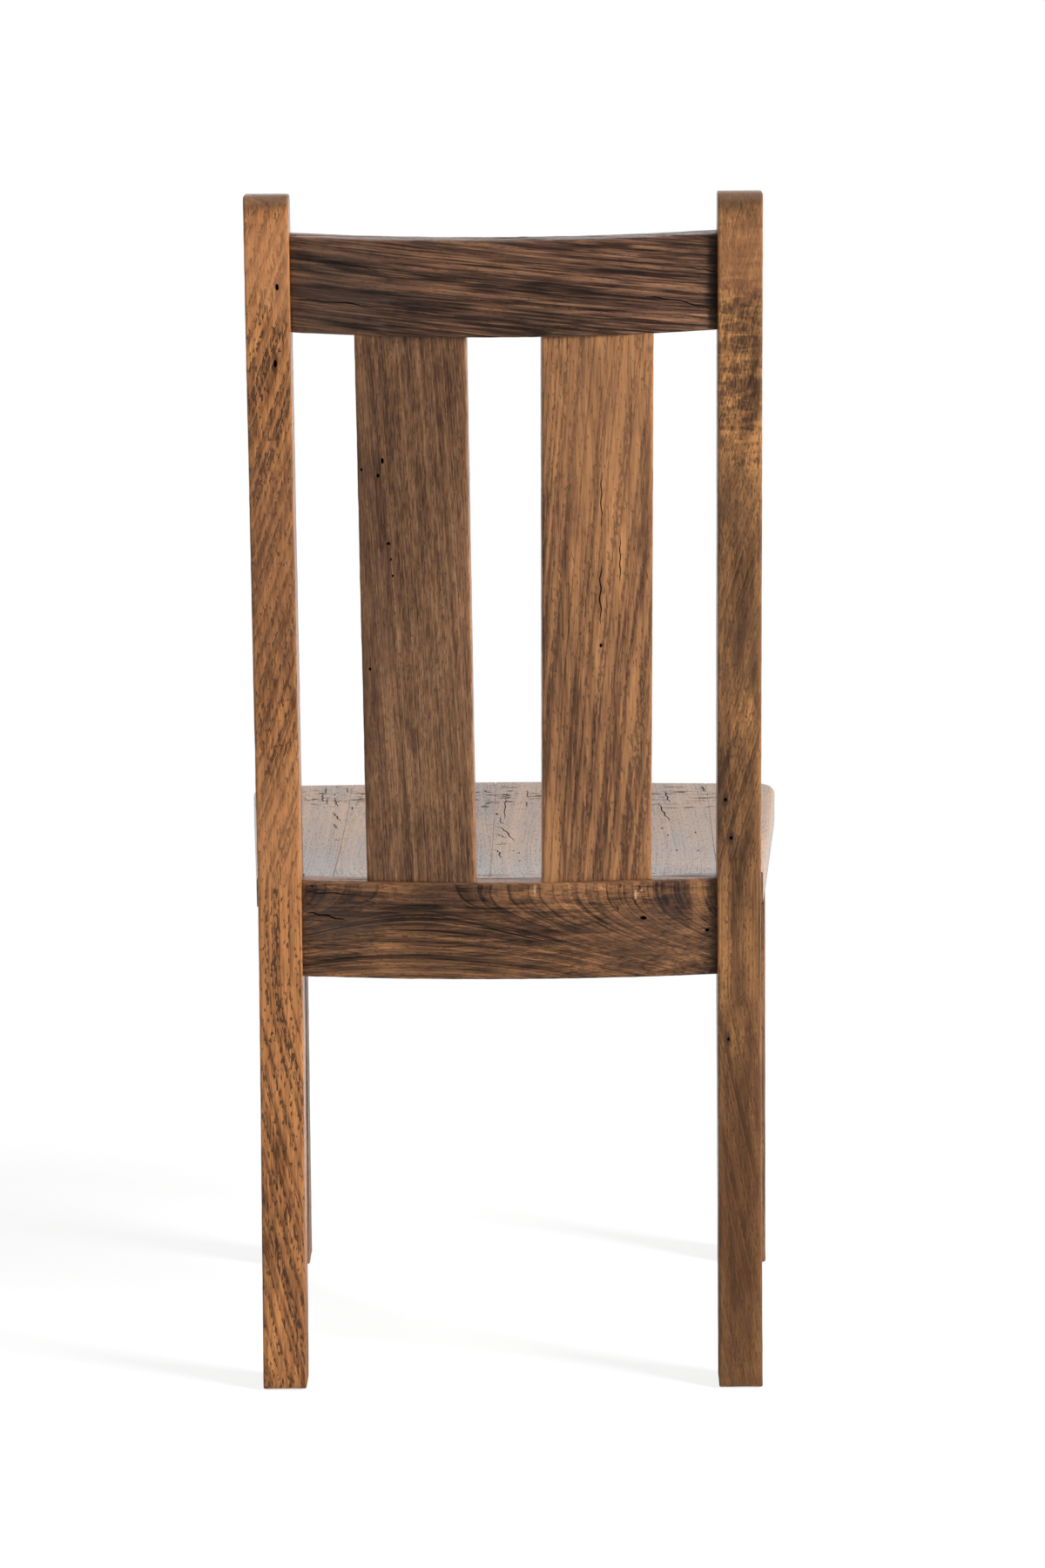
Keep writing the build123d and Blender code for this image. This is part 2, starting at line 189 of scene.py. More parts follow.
lamps = [
    soft_box("window light", (-3.4, 1.7, 2.3), 1.3, 260),
    soft_box("fill light", (1.6, 4.6, 2.4), 2.0, 30),
    soft_box("front light", (1.2, -4.2, 2.8), 2.4, 120),
]
print("lamps:", *(lamp.name for lamp in lamps))

# %% [markdown]
# The floor is a plain pale sheet. The camera sees it as white far from the chair, and near the
# chair as white paint that keeps the soft shadow under the legs. The varnish mirrors it as the
# world is mirrored: white beyond the chair and dim on the camera's side.


# %% Pale floor
def one_shader(tree, kind, socket, value):
    made = add_node(tree, f"ShaderNode{kind}")
    feed(tree, made.inputs[socket], value)
    return made.outputs[0]


def mixed_shaders(tree, amount, first, second):
    made = add_node(tree, "ShaderNodeMixShader")
    for socket, source in zip(made.inputs, (amount, first, second)):
        feed(tree, socket, source)
    return made.outputs[0]


bpy.ops.object.select_all(action="DESELECT")
bpy.ops.mesh.primitive_plane_add(size=30, location=(0, 0, -0.0005))
floor = bpy.context.object
floor.name = "studio_floor"
paper = bpy.data.materials.new("white paper floor")
paper.use_nodes = True
tree = paper.node_tree
tree.nodes.clear()
path = add_node(tree, "ShaderNodeLightPath").outputs
place = add_node(tree, "ShaderNodeTexCoord").outputs["Object"]
near_floor = add_node(tree, "ShaderNodeAddShader")
feed(tree, near_floor.inputs[0], one_shader(tree, "BsdfDiffuse", "Color", (0.28, 0.28, 0.28, 1)))
feed(tree, near_floor.inputs[1], one_shader(tree, "Emission", "Strength", 0.78))
white = one_shader(tree, "Emission", "Strength", 1.0)
far = ramp_between(tree, vector_maths(tree, "LENGTH", place), 0.45, 1.5)
seen_floor = mixed_shaders(tree, far, near_floor.outputs[0], white)
matt = one_shader(tree, "BsdfDiffuse", "Color", (0.82, 0.82, 0.82, 1))
beyond_chair = ramp_between(tree, parts_of(tree, place)["Y"], -0.6, 0.2, 1.0, DIM_WALL)
mirrored_floor = one_shader(tree, "Emission", "Strength", beyond_chair)
lit_floor = mixed_shaders(tree, path["Is Glossy Ray"], matt, mirrored_floor)
output = add_node(tree, "ShaderNodeOutputMaterial")
feed(tree, output.inputs[0], mixed_shaders(tree, path["Is Camera Ray"], lit_floor, seen_floor))
floor.data.materials.append(paper)
print("floor", floor.dimensions.x, "m wide")

# %% [markdown]
# ## Wood, from the tree outwards
#
# A board is cut from a tree, so its pattern is solid: growth rings round the pith, fibres along
# the trunk, and pores in the first part of each ring. Cutting a bent or bowed board through such
# a solid gives the slanting and oval figures of the photograph by itself. Each effect is a node
# group that works in the tree's own directions: Z runs up the trunk and the pith is at X = Y = 0.


# %% A node group's sockets
def new_group(name, inputs, outputs):
    """A shader node group with named inputs, each a kind and a first value, and float outputs."""
    group = bpy.data.node_groups.new(name, "ShaderNodeTree")
    for socket_name, (kind, value) in inputs.items():
        socket = group.interface.new_socket(socket_name, in_out="INPUT", socket_type=kind)
        if value is not None:
            socket.default_value = value
    for socket_name in outputs:
        group.interface.new_socket(socket_name, in_out="OUTPUT", socket_type="NodeSocketFloat")
    given = add_node(group, "NodeGroupInput").outputs
    return group, given, add_node(group, "NodeGroupOutput").inputs


VECTOR, NUMBER = "NodeSocketVector", "NodeSocketFloat"


def give_out(tree, made_of, *results):
    for socket, result in zip(made_of, results):
        feed(tree, socket, result)


def stretched(tree, vector, stretch):
    """The vector with its length along the trunk shortened, so that noise on it is drawn out."""
    return vector_maths(tree, "MULTIPLY", vector, (1, 1, stretch))


def noise(tree, vector, scale, detail=2.0, roughness=0.55, distortion=0.0):
    made = add_node(tree, "ShaderNodeTexNoise", noise_dimensions="3D")
    names = ("Vector", "Scale", "Detail", "Roughness", "Distortion")
    for name, source in zip(names, (vector, scale, detail, roughness, distortion)):
        feed(tree, made.inputs[name], source)
    return made.outputs[0]


print("helpers for node groups are ready")

# %% [markdown]
# Growth rings: the distance from the pith, wandering a little, is counted in rings. Each ring
# starts with open, porous wood, ends in a dark line, and has a tone of its own.

# %% Growth rings
rings_group, given, made_of = new_group(
    "growth rings",
    {"Vector": (VECTOR, None), "Spacing": (NUMBER, 0.003), "Wander": (NUMBER, 0.5)},
    ("Porous", "Line", "Tone"),
)
tree = rings_group
radius = vector_maths(tree, "LENGTH", vector_maths(tree, "MULTIPLY", given["Vector"], (1, 1, 0)))
count = maths(tree, "DIVIDE", radius, given["Spacing"])
# Dry years and wet years: the rings bunch together and spread out
years = add_node(tree, "ShaderNodeTexNoise", noise_dimensions="1D")
feed(tree, years.inputs["W"], times(tree, count, 0.33))
broad = noise(tree, stretched(tree, given["Vector"], 0.14), 20.0, 3.0)
offset = times(tree, maths(tree, "SUBTRACT", broad, 0.5), given["Wander"])
count = added_up(tree, count, (years.outputs[0], 1.6), (offset, 6.0))
part_of_ring = maths(tree, "FRACT", count)
porous = ramp_between(tree, part_of_ring, 0.05, 0.5, 1.0, 0.0)
ring_end = ramp_between(tree, part_of_ring, 0.9, 1.0, 1.0, 0.0)
line = times(tree, maths(tree, "POWER", part_of_ring, 4.0), ring_end)
line = maths(tree, "MULTIPLY", line, 1.7, clamp=True)
tone = add_node(tree, "ShaderNodeTexWhiteNoise", noise_dimensions="1D")
feed(tree, tone.inputs["W"], maths(tree, "FLOOR", count))
give_out(tree, made_of, porous, line, tone.outputs[0])
print("group:", rings_group.name)

# %% [markdown]
# Fibres and pores: noise drawn out along the trunk gives streaks a few millimetres wide and hair
# lines under one. The high spots of a shorter noise are the pores, 1 by 3 mm, and they crowd
# where the wood is porous. Checks are thin dark lines that follow the fibres: the places where a
# long drawn-out noise passes through its middle value, kept only here and there.

# %% Fibres and pores
fibres_group, given, made_of = new_group(
    "fibres and pores",
    {
        "Vector": (VECTOR, None),
        "Porous": (NUMBER, 0.5),
        "Pore Scale": (NUMBER, 650.0),
        "Check Scale": (NUMBER, 110.0),
    },
    ("Streaks", "Hair Lines", "Pores", "Checks"),
)
tree = fibres_group
streaks = noise(tree, stretched(tree, given["Vector"], 0.05), 150.0, 3.0)
streaks = ramp_between(tree, streaks, 0.28, 0.72)
hairs = noise(tree, stretched(tree, given["Vector"], 0.04), 620.0, 2.0)
hairs = ramp_between(tree, hairs, 0.3, 0.7)
pores = noise(tree, stretched(tree, given["Vector"], 0.28), given["Pore Scale"], 1.0)
pores = ramp_between(tree, added_up(tree, pores, (given["Porous"], 0.18)), 0.62, 0.69)
drawn = stretched(tree, given["Vector"], 0.035)
checks = noise(tree, drawn, given["Check Scale"], 3.0)
from_middle = maths(tree, "ABSOLUTE", maths(tree, "SUBTRACT", checks, 0.5))
here = ramp_between(tree, noise(tree, drawn, 45.0, 2.0), 0.4, 0.52)
checks = times(tree, ramp_between(tree, from_middle, 0.01, 0.045, 1.0, 0.0), here)
give_out(tree, made_of, streaks, hairs, pores, checks)
print("group:", fibres_group.name)

# %% [markdown]
# Clouds and ripples: old finish darkens in clouds some centimetres wide, and curly wood shows
# bright and dark ripples across the grain.

# %% Clouds and ripples
clouds_group, given, made_of = new_group(
    "clouds and ripples",
    {"Vector": (VECTOR, None), "Cloud Scale": (NUMBER, 16.0), "Ripple Scale": (NUMBER, 60.0)},
    ("Clouds", "Ripples"),
)
tree = clouds_group
clouds = noise(tree, stretched(tree, given["Vector"], 0.35), given["Cloud Scale"], 4.0, 0.6)
ripples = noise(tree, stretched(tree, given["Vector"], 3.2), given["Ripple Scale"], 2.0, 0.5, 0.6)
clouds, ripples = (ramp_between(tree, result, 0.3, 0.7) for result in (clouds, ripples))
give_out(tree, made_of, clouds, ripples)
print("group:", clouds_group.name)

# %% [markdown]
# A stain is a soft-edged patch at one place of the chair: a dark halo round a nail, a scorched
# end or a honey-coloured window in the finish.

# %% Stains
stain_group, given, made_of = new_group(
    "stain",
    {
        "Vector": (VECTOR, None),
        "Centre": (VECTOR, None),
        "Size": (VECTOR, None),
        "Ragged": (NUMBER, 0.35),
    },
    ("Stain",),
)
tree = stain_group
from_centre = vector_maths(tree, "SUBTRACT", given["Vector"], given["Centre"])
reach = vector_maths(tree, "LENGTH", vector_maths(tree, "DIVIDE", from_centre, given["Size"]))
ragged = maths(tree, "SUBTRACT", noise(tree, given["Vector"], 90.0, 3.0), 0.5)
edge = added_up(tree, reach, (times(tree, ragged, given["Ragged"]), 4.0))
give_out(tree, made_of, ramp_between(tree, edge, 0.35, 1.0, 1.0, 0.0))
print("group:", stain_group.name)

# %% [markdown]
# A coarse saw leaves dark dashes across the planks, each as many times longer than thick as the
# group's length says.

# %% Saw marks
saw_group, given, made_of = new_group(
    "saw marks", {"Vector": (VECTOR, None), "Length": (NUMBER, 4.5)}, ("Marks",)
)
tree = saw_group
shrink = add_node(tree, "ShaderNodeCombineXYZ")
for socket, share in zip(shrink.inputs, (maths(tree, "DIVIDE", 1.0, given["Length"]), 1.0, 1.0)):
    feed(tree, socket, share)
across_board = vector_maths(tree, "MULTIPLY", given["Vector"], shrink.outputs[0])
give_out(tree, made_of, ramp_between(tree, noise(tree, across_board, 200.0, 2.0), 0.55, 0.63))
print("group:", saw_group.name)

# %% [markdown]
# ## Mixing one board's wood
#
# Each board takes its own tree: where the pith ran, how the trunk was turned, how wide the rings
# are. The effects are added up to one tone from 0 to 1, and a colour ramp turns the tone into the
# board's own browns. Pores, stains and worn arrises are laid over it. Colours are written as on
# a paint card, from 0 to 255.


# %% Colours from a paint card
def card(red, green, blue):
    """A colour card's red, green and blue from 0 to 255, as the linear colour that Blender uses."""
    shares = [value / 255 for value in (red, green, blue)]
    linear = [s / 12.92 if s <= 0.04045 else ((s + 0.055) / 1.055) ** 2.4 for s in shares]
    return (*linear, 1.0)


def new_material(name):
    made = bpy.data.materials.new(name)
    made.use_nodes = True
    return made, made.node_tree, made.node_tree.nodes["Principled BSDF"].inputs


def laid_over(tree, below, above, amount):
    """One colour laid over another, as thick as the amount says."""
    made = add_node(tree, "ShaderNodeMix", data_type="RGBA")
    feed(tree, made.inputs[0], amount)
    feed(tree, made.inputs[6], below)
    feed(tree, made.inputs[7], above)
    return made.outputs[2]


def use_group(tree, group, **inputs):
    made = add_node(tree, "ShaderNodeGroup", node_tree=group)
    for name, source in inputs.items():
        feed(tree, made.inputs[name.replace("_", " ")], source)
    return made.outputs


def unbowed(tree, place, bow):
    """The place with a rail's bow taken out, for a rail that was bent, not sawn to its curve."""
    parts = parts_of(tree, place)
    straight = add_node(tree, "ShaderNodeCombineXYZ")
    unbent = added_up(tree, parts["Y"], (times(tree, parts["X"], parts["X"]), bow))
    for axis, source in zip("XYZ", (parts["X"], unbent, parts["Z"])):
        feed(tree, straight.inputs[axis], source)
    return straight.outputs[0]


print("the card's middle grey is", round(card(128, 128, 128)[0], 3), "in light")


# %% A board's material
CHECK_BLACK, PORE_BROWN = card(20, 13, 10), card(58, 37, 25)


def board_wood(
    name,
    browns,
    pith,
    turn=(0, 0, 0),
    bow=0.0,
    spacing=0.003,
    wander=0.5,
    rings=0.3,
    lines=0.4,
    bands=0.0,
    streaks=0.5,
    hairs=0.25,
    clouds=0.3,
    cloud_scale=16.0,
    ripples=0.0,
    ripple_scale=60.0,
    ripple_patch=(),
    checks=0.0,
    check_scale=110.0,
    pores=0.6,
    pore_scale=650.0,
    stains=(),
    saw_patches=(),
    worn_brown=(176, 122, 78),
    worn=0.3,
    rough=0.36,
    coat=0.3,
):
    finish, tree, shader = new_material(name)
    place = add_node(tree, "ShaderNodeTexCoord").outputs["Object"]
    wear = add_node(tree, "ShaderNodeAttribute", attribute_name="wear").outputs["Fac"]
    cut = add_node(tree, "ShaderNodeAttribute", attribute_name="cut").outputs["Fac"]
    trunk = add_node(tree, "ShaderNodeMapping", vector_type="TEXTURE")
    feed(tree, trunk.inputs["Vector"], unbowed(tree, place, bow))
    feed(tree, trunk.inputs["Location"], pith)
    feed(tree, trunk.inputs["Rotation"], [radians(angle) for angle in turn])
    in_tree = trunk.outputs[0]

    def patch(centre, size, ragged=0.35):
        where = dict(Vector=place, Centre=centre, Size=size, Ragged=ragged)
        return use_group(tree, stain_group, **where)["Stain"]

    ring = use_group(tree, rings_group, Vector=in_tree, Spacing=spacing, Wander=wander)
    scales = dict(Cloud_Scale=cloud_scale, Ripple_Scale=ripple_scale)
    cloud = use_group(tree, clouds_group, Vector=in_tree, **scales)
    porous, rippled = ring["Porous"], 0.5
    if ripples:
        curly = patch(*ripple_patch)
        dark_ripples = maths(tree, "SUBTRACT", 1.0, cloud["Ripples"])
        porous = maths(tree, "MAXIMUM", porous, times(tree, curly, dark_ripples))
        from_middle = maths(tree, "SUBTRACT", cloud["Ripples"], 0.5)
        rippled = maths(tree, "ADD", times(tree, from_middle, curly), 0.5)
    scales = dict(Pore_Scale=pore_scale, Check_Scale=check_scale)
    fibre = use_group(tree, fibres_group, Vector=in_tree, Porous=porous, **scales)

    # One tone from all effects: each moves it up or down from the middle by its own share
    tone = added_up(
        tree,
        0.5 - 0.5 * (rings + streaks + hairs + clouds + ripples),
        (ring["Tone"], rings),
        (fibre["Streaks"], streaks),
        (fibre["Hair Lines"], hairs),
        (cloud["Clouds"], clouds),
        (rippled, ripples),
        (ring["Line"], -lines),
        (porous, -bands),
    )
    browns_ramp = add_node(tree, "ShaderNodeValToRGB")
    feed(tree, browns_ramp.inputs[0], tone)
    stops = browns_ramp.color_ramp.elements
    while len(stops) < len(browns):
        stops.new(0.5)
    for number, (stop, brown) in enumerate(zip(stops, browns)):
        stop.position = number / (len(browns) - 1)
        stop.color = card(*brown)
    colour = browns_ramp.outputs[0]

    # What was laid over the browns later: pores, stains, wear, and bare dark cuts and checks
    colour = laid_over(tree, colour, PORE_BROWN, times(tree, fibre["Pores"], pores))
    for brown, centre, size, strength in stains:
        colour = laid_over(tree, colour, card(*brown), times(tree, patch(centre, size), strength))
    bare = maths(tree, "MAXIMUM", cut, times(tree, fibre["Checks"], checks))
    for centre, size, length in saw_patches:
        scores = use_group(tree, saw_group, Vector=place, Length=length)["Marks"]
        bare = maths(tree, "MAXIMUM", bare, times(tree, scores, patch(centre, size, 0.6)))
    scuffed = added_up(tree, 0.45, (fibre["Streaks"], 0.5))
    rubbed = times(tree, times(tree, wear, scuffed), worn)
    colour = laid_over(tree, colour, card(*worn_brown), rubbed)
    colour = laid_over(tree, colour, CHECK_BLACK, times(tree, bare, 0.85))
    feed(tree, shader["Base Color"], colour)

    # Pores, bare cuts and rubbed arrises are duller than the varnish between them
    dulled = ((fibre["Pores"], 0.25), (cloud["Clouds"], 0.08), (bare, 0.5), (rubbed, 0.12))
    feed(tree, shader["Roughness"], added_up(tree, rough, *dulled))
    feed(tree, shader["Coat Weight"], added_up(tree, coat, (bare, -coat)))
    feed(tree, shader["Coat Roughness"], 0.22)
    height = added_up(
        tree,
        0.0,
        (fibre["Hair Lines"], 0.25),
        (fibre["Streaks"], 0.35),
        (fibre["Pores"], -0.9),
        (ring["Line"], 0.2),
        (fibre["Checks"], -checks),
    )
    grain = add_node(tree, "ShaderNodeBump")
    for socket, source in (("Strength", 0.45), ("Distance", 0.0006), ("Height", height)):
        feed(tree, grain.inputs[socket], source)
    feed(tree, shader["Normal"], grain.outputs[0])
    return finish


print("a board's wood can be mixed")

# %% [markdown]
# ### The woods of the back
#
# The posts are honey brown. The left one was cut so that its rings lie almost flat to its rear
# face: where the post bends, the face runs out through them, and rows of pores slant one way
# above the seat and the other way below it. The rails are dark, the left slat is straight and
# fine, and the right slat is coarse and light. A stain is its brown, its centre, how far it
# reaches along X, Y and Z, and its strength.

# %% Woods of the back
# The last colour on the next line is painted shadow: the shade the posts cast on the rail ends, laid
# into the wood's colour
NAIL_RUST, IRON_GREY, POST_SHADOW_BROWN = (36, 23, 16), (46, 38, 34), (22, 14, 10)
END_GRAIN, PALE_SCRATCH = (84, 60, 42), (190, 160, 128)
woods = {
    "post_left": board_wood(
        "left post wood",
        [(82, 49, 24), (134, 85, 46), (173, 114, 64), (203, 137, 77), (232, 160, 91)],
        pith=(0.062, -0.345, 0), spacing=0.0026, wander=0.14, rings=0.1, lines=0.35, bands=0.2,
        streaks=0.24, hairs=0.3, clouds=0.18, pores=0.85, pore_scale=560.0,
        stains=(
            (END_GRAIN, (0.205, 0.225, 1.056), (0.07, 0.07, 0.016), 0.8),
            (NAIL_RUST, (0.1924, 0.2186, 0.9784), (0.003, 0.02, 0.014), 0.7),
            (NAIL_RUST, (0.1952, 0.2125, 0.9123), (0.003, 0.02, 0.015), 0.7),
            ((112, 76, 50), (0.205, 0.2, 0.73), (0.09, 0.09, 0.16), 0.4),
            ((200, 138, 90), (0.205, 0.22, 1.0), (0.06, 0.06, 0.06), 0.4),
            ((200, 138, 88), (0.205, 0.17, 0.5), (0.06, 0.06, 0.09), 0.3),
        ),
    ),
    "post_right": board_wood(
        "right post wood",
        [(58, 37, 20), (92, 61, 35), (122, 83, 48), (148, 102, 58), (184, 128, 72)],
        pith=(-0.35, -0.3, 0), spacing=0.0009, wander=0.5, rings=0.25, lines=0.25, streaks=0.35,
        hairs=0.2, clouds=0.45, ripples=0.5, ripple_scale=46.0,
        ripple_patch=((-0.205, 0.21, 0.92), (0.2, 0.2, 0.16)),
        stains=(
            (IRON_GREY, (-0.1888, 0.1763, 0.5245), (0.0035, 0.02, 0.01), 0.75),
            (IRON_GREY, (-0.1938, 0.1731, 0.4898), (0.0035, 0.02, 0.01), 0.75),
            (IRON_GREY, (-0.1912, 0.1723, 0.3099), (0.0035, 0.02, 0.011), 0.75),
            (END_GRAIN, (-0.205, 0.225, 1.056), (0.07, 0.07, 0.018), 0.85),
            ((178, 120, 76), (-0.205, 0.22, 1.0), (0.06, 0.06, 0.05), 0.35),
            ((86, 58, 38), (-0.2, 0.2, 0.79), (0.03, 0.06, 0.04), 0.45),
            ((84, 57, 38), (-0.21, 0.2, 0.66), (0.03, 0.06, 0.05), 0.4),
            ((82, 50, 26), (-0.205, 0.17, 0.12), (0.09, 0.09, 0.28), 0.5),
        ),
    ),
    "crest": board_wood(
        "crest rail wood",
        [(36, 24, 17), (72, 48, 35), (105, 73, 53), (131, 91, 64), (160, 113, 77)],
        pith=(0, 0.10, 1.42), turn=(0, 84, 0), bow=0.78, spacing=0.005, wander=0.22, rings=0.15,
        lines=0.4, bands=0.3, streaks=0.36, hairs=0.5, clouds=0.3, checks=0.8, check_scale=90.0,
        pores=0.4, worn_brown=(140, 100, 72),
        stains=(
            # Painted shadow of the right post on the crest rail's end
            (POST_SHADOW_BROWN, (-0.189, 0.2, 0.98), (0.022, 0.08, 0.12), 0.75),
            ((134, 104, 86), (0.14, 0.2, 0.98), (0.07, 0.09, 0.07), 0.2),
        ),
    ),
    "lower_rail": board_wood(
        "lower rail wood",
        [(36, 23, 14), (82, 54, 35), (120, 82, 51), (154, 104, 64), (190, 133, 80)],
        pith=(0, 0.062, 0.443), turn=(0, 90, -4.2), spacing=0.0012, wander=0.4, rings=0.3,
        lines=0.38, streaks=0.3, hairs=0.25, clouds=0.35, checks=0.5, pores=0.5,
        worn_brown=(120, 84, 58),
        stains=(
            # Painted shade at both ends of the lower rail, where the posts shadow it
            (POST_SHADOW_BROWN, (-0.19, 0.17, 0.43), (0.018, 0.06, 0.12), 0.7),
            (POST_SHADOW_BROWN, (0.19, 0.17, 0.43), (0.012, 0.06, 0.12), 0.4),
            ((52, 40, 38), (-0.14, 0.17, 0.43), (0.028, 0.05, 0.03), 0.4),
            ((150, 108, 76), (-0.12, 0.17, 0.40), (0.08, 0.06, 0.04), 0.14),
            ((158, 110, 70), (-0.165, 0.17, 0.437), (0.01, 0.05, 0.028), 0.35),
            ((74, 58, 52), (0.15, 0.17, 0.42), (0.05, 0.05, 0.035), 0.5),
            (PALE_SCRATCH, (-0.0224, 0.177, 0.4445), (0.0016, 0.02, 0.007), 0.6),
            (PALE_SCRATCH, (-0.1104, 0.174, 0.4405), (0.0013, 0.02, 0.006), 0.7),
            (PALE_SCRATCH, (-0.1158, 0.173, 0.4438), (0.0018, 0.02, 0.0018), 0.7),
        ),
    ),
    "slat_left": board_wood(
        "left slat wood",
        [(63, 41, 26), (107, 73, 48), (137, 97, 66), (162, 118, 79), (188, 140, 96)],
        pith=(0.40, 0.02, 0), spacing=0.00225, wander=0.06, rings=0.15, lines=0.3, bands=0.25,
        streaks=0.25, hairs=0.3, clouds=0.22, pores=0.45,
        stains=(((76, 52, 40), (0.125, 0.2, 0.7), (0.03, 0.05, 0.4), 0.35),),
    ),
    "slat_right": board_wood(
        "right slat wood",
        [(78, 50, 30), (120, 80, 50), (152, 105, 64), (178, 124, 74), (206, 147, 88)],
        pith=(-0.165, -0.22, 0.2), turn=(-4.5, 0, 0), spacing=0.0036, wander=0.3, rings=0.15,
        lines=0.3, bands=0.28, streaks=0.22, hairs=0.25, clouds=0.22, checks=0.35, check_scale=60.0,
        pores=0.55, pore_scale=560.0,
        stains=(((200, 140, 90), (-0.09, 0.2, 0.88), (0.09, 0.1, 0.2), 0.14),),
    ),
}
print("woods of the back:", len(woods))

# %% [markdown]
# ### The woods below
#
# The seat's planks were glued up from one stock, each turned another way, so their rings run in
# different curves from front to back. Legs and aprons are plain brown boards.

# %% Woods of the seat and the frame under it
seat_browns = [(80, 51, 30), (108, 74, 45), (130, 92, 56), (150, 108, 68), (171, 127, 83)]
# Where the pith ran beside and above each plank, and how light its wood is
plank_trees = (
    (0.30, 0.40, 1.0),
    (0.10, 0.36, 1.06),
    (0.16, 0.33, 0.95),
    (-0.09, 0.37, 1.03),
    (-0.02, 0.30, 0.96),
    (-0.34, 0.41, 1.04),
)
for number, (pith_x, pith_z, light) in enumerate(plank_trees, 1):
    woods[f"plank_{number}"] = board_wood(
        f"seat plank {number} wood",
        [[light * part for part in brown] for brown in seat_browns],
        pith=(pith_x, 0, pith_z), turn=(-90, 0, 0), spacing=0.0028, wander=0.5, rings=0.25,
        lines=0.22, streaks=0.16, hairs=0.06, clouds=0.45, pores=0.12, cloud_scale=26.0,
        saw_patches=(
            ((0.08, -0.185, 0.457), (0.25, 0.04, 0.2), 3.0),
            ((-0.160, -0.182, 0.455), (0.04, 0.06, 0.2), 12.0),
            ((0.022, -0.19, 0.455), (0.008, 0.05, 0.2), 2.0),
            ((0, 0.139, 0.455), (0.4, 0.012, 0.2), 14.0),
        ),
        stains=(
            ((74, 60, 56), (0.15, 0.117, 0.45), (0.01, 0.02, 0.1), 0.6),
            ((70, 60, 62), (0.02, 0.135, 0.45), (0.03, 0.02, 0.1), 0.55),
            ((72, 62, 62), (-0.150, -0.022, 0.448), (0.009, 0.035, 0.1), 0.5),
            ((76, 64, 62), (-0.172, 0.025, 0.448), (0.014, 0.022, 0.1), 0.35),
            ((104, 74, 52), (-0.15, 0, 0.45), (0.08, 0.3, 0.2), 0.3),
        ),
        rough=0.3, coat=0.55,
    )
for name, pith, turn in (
    ("leg_left", (0.33, -0.05, 0), (0, 0, 0)),
    ("leg_right", (-0.30, -0.32, 0), (0, 0, 0)),
    ("apron_front", (0, -0.30, 0.36), (0, 90, 0)),
    ("apron_left", (0.14, 0, 0.40), (-90, 0, 0)),
    ("apron_right", (-0.30, 0, 0.36), (-90, 0, 0)),
):
    woods[name] = board_wood(
        name.replace("_", " ") + " wood",
        [(56, 38, 26), (94, 66, 46), (122, 88, 62), (146, 108, 78), (172, 132, 98)],
        pith=pith, turn=turn, spacing=0.0022, coat=0.0,
    )
woods["block"] = board_wood(
    "sawn block wood",
    [(110, 82, 50), (146, 112, 70), (166, 132, 85), (184, 150, 99), (204, 172, 119)],
    pith=(0, 0.05, 0.2), turn=(0, 90, 0), spacing=0.004, worn=0.0, rough=0.6, coat=0.0,
)
print("woods in all:", len(woods))

# %% [markdown]
# The corner blocks and screws under the seat keep the frame's own meshes, and only take a finish:
# sawn wood, and steel with a blotchy tarnish.

# %% Screw steel
steel, tree, shader = new_material("screw steel")
feed(tree, shader["Metallic"], 1.0)
place = add_node(tree, "ShaderNodeTexCoord").outputs["Object"]
tarnish = ramp_between(tree, noise(tree, place, 900.0, 3.0), 0.4, 0.7)
bright, dark = card(168, 166, 160), card(96, 88, 78)
feed(tree, shader["Base Color"], laid_over(tree, bright, dark, tarnish))
feed(tree, shader["Roughness"], added_up(tree, 0.32, (tarnish, 0.3)))
print("steel:", steel.name)


# %% Nodes that stay
def dress(node, material):
    """Give a node of the frame another material without touching its mesh."""
    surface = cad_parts[node]
    surface.data.materials.clear()
    surface.data.materials.append(material)


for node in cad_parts:
    if node.startswith("corner_block"):
        dress(node, woods["block"])
    if node.endswith("screws"):
        dress(node, steel)
print("dressed the nodes under the seat")

# %% [markdown]
# ## Boards
#
# Every board starts as a cube primitive at the board's size, and a bevel eases its arrises while
# it still has six faces. It is then sliced across, so that it can bend and take dents, and only
# then bent or bowed: the bend moves each slice as a whole, which keeps the board's thickness.


# %% Start and slice a board
MM = 0.001
X, Y, Z = 0, 1, 2
ARRIS = 2 * MM
# Slices this far from an edge let its arris take wear and dents
NEAR_EDGE = (3.2 * MM, 6 * MM, 11 * MM)


def apply_all(piece):
    bpy.context.view_layer.objects.active = piece
    for modifier in list(piece.modifiers):
        bpy.ops.object.modifier_apply(modifier=modifier.name)


def cube_between(name, low, high):
    """A cube primitive stretched between two corners."""
    bpy.ops.object.select_all(action="DESELECT")
    low, high = Vector(low), Vector(high)
    bpy.ops.mesh.primitive_cube_add(size=1, location=(low + high) / 2)
    cube = bpy.context.object
    cube.name = cube.data.name = name
    cube.scale = high - low
    bpy.ops.object.transform_apply(location=True, rotation=True, scale=True)
    return cube


def eased_board(name, low, high):
    board = cube_between(name, low, high)
    bevel = board.modifiers.new("eased arrises", "BEVEL")
    bevel.width = ARRIS
    bevel.segments = 3
    apply_all(board)
    return board


def evenly(start, end, step):
    """Places from start to end, about a step apart, without the two ends."""
    count = max(1, round((end - start) / step))
    return [start + (end - start) * number / count for number in range(1, count)]


def slice_across(board, axis, places):
    bpy.context.view_layer.objects.active = board
    bpy.ops.object.mode_set(mode="EDIT")
    point, normal = Vector(), Vector()
    normal[axis] = 1
    for place in places:
        point[axis] = place
        bpy.ops.mesh.select_all(action="SELECT")
        bpy.ops.mesh.bisect(plane_co=point, plane_no=normal)
    bpy.ops.object.mode_set(mode="OBJECT")


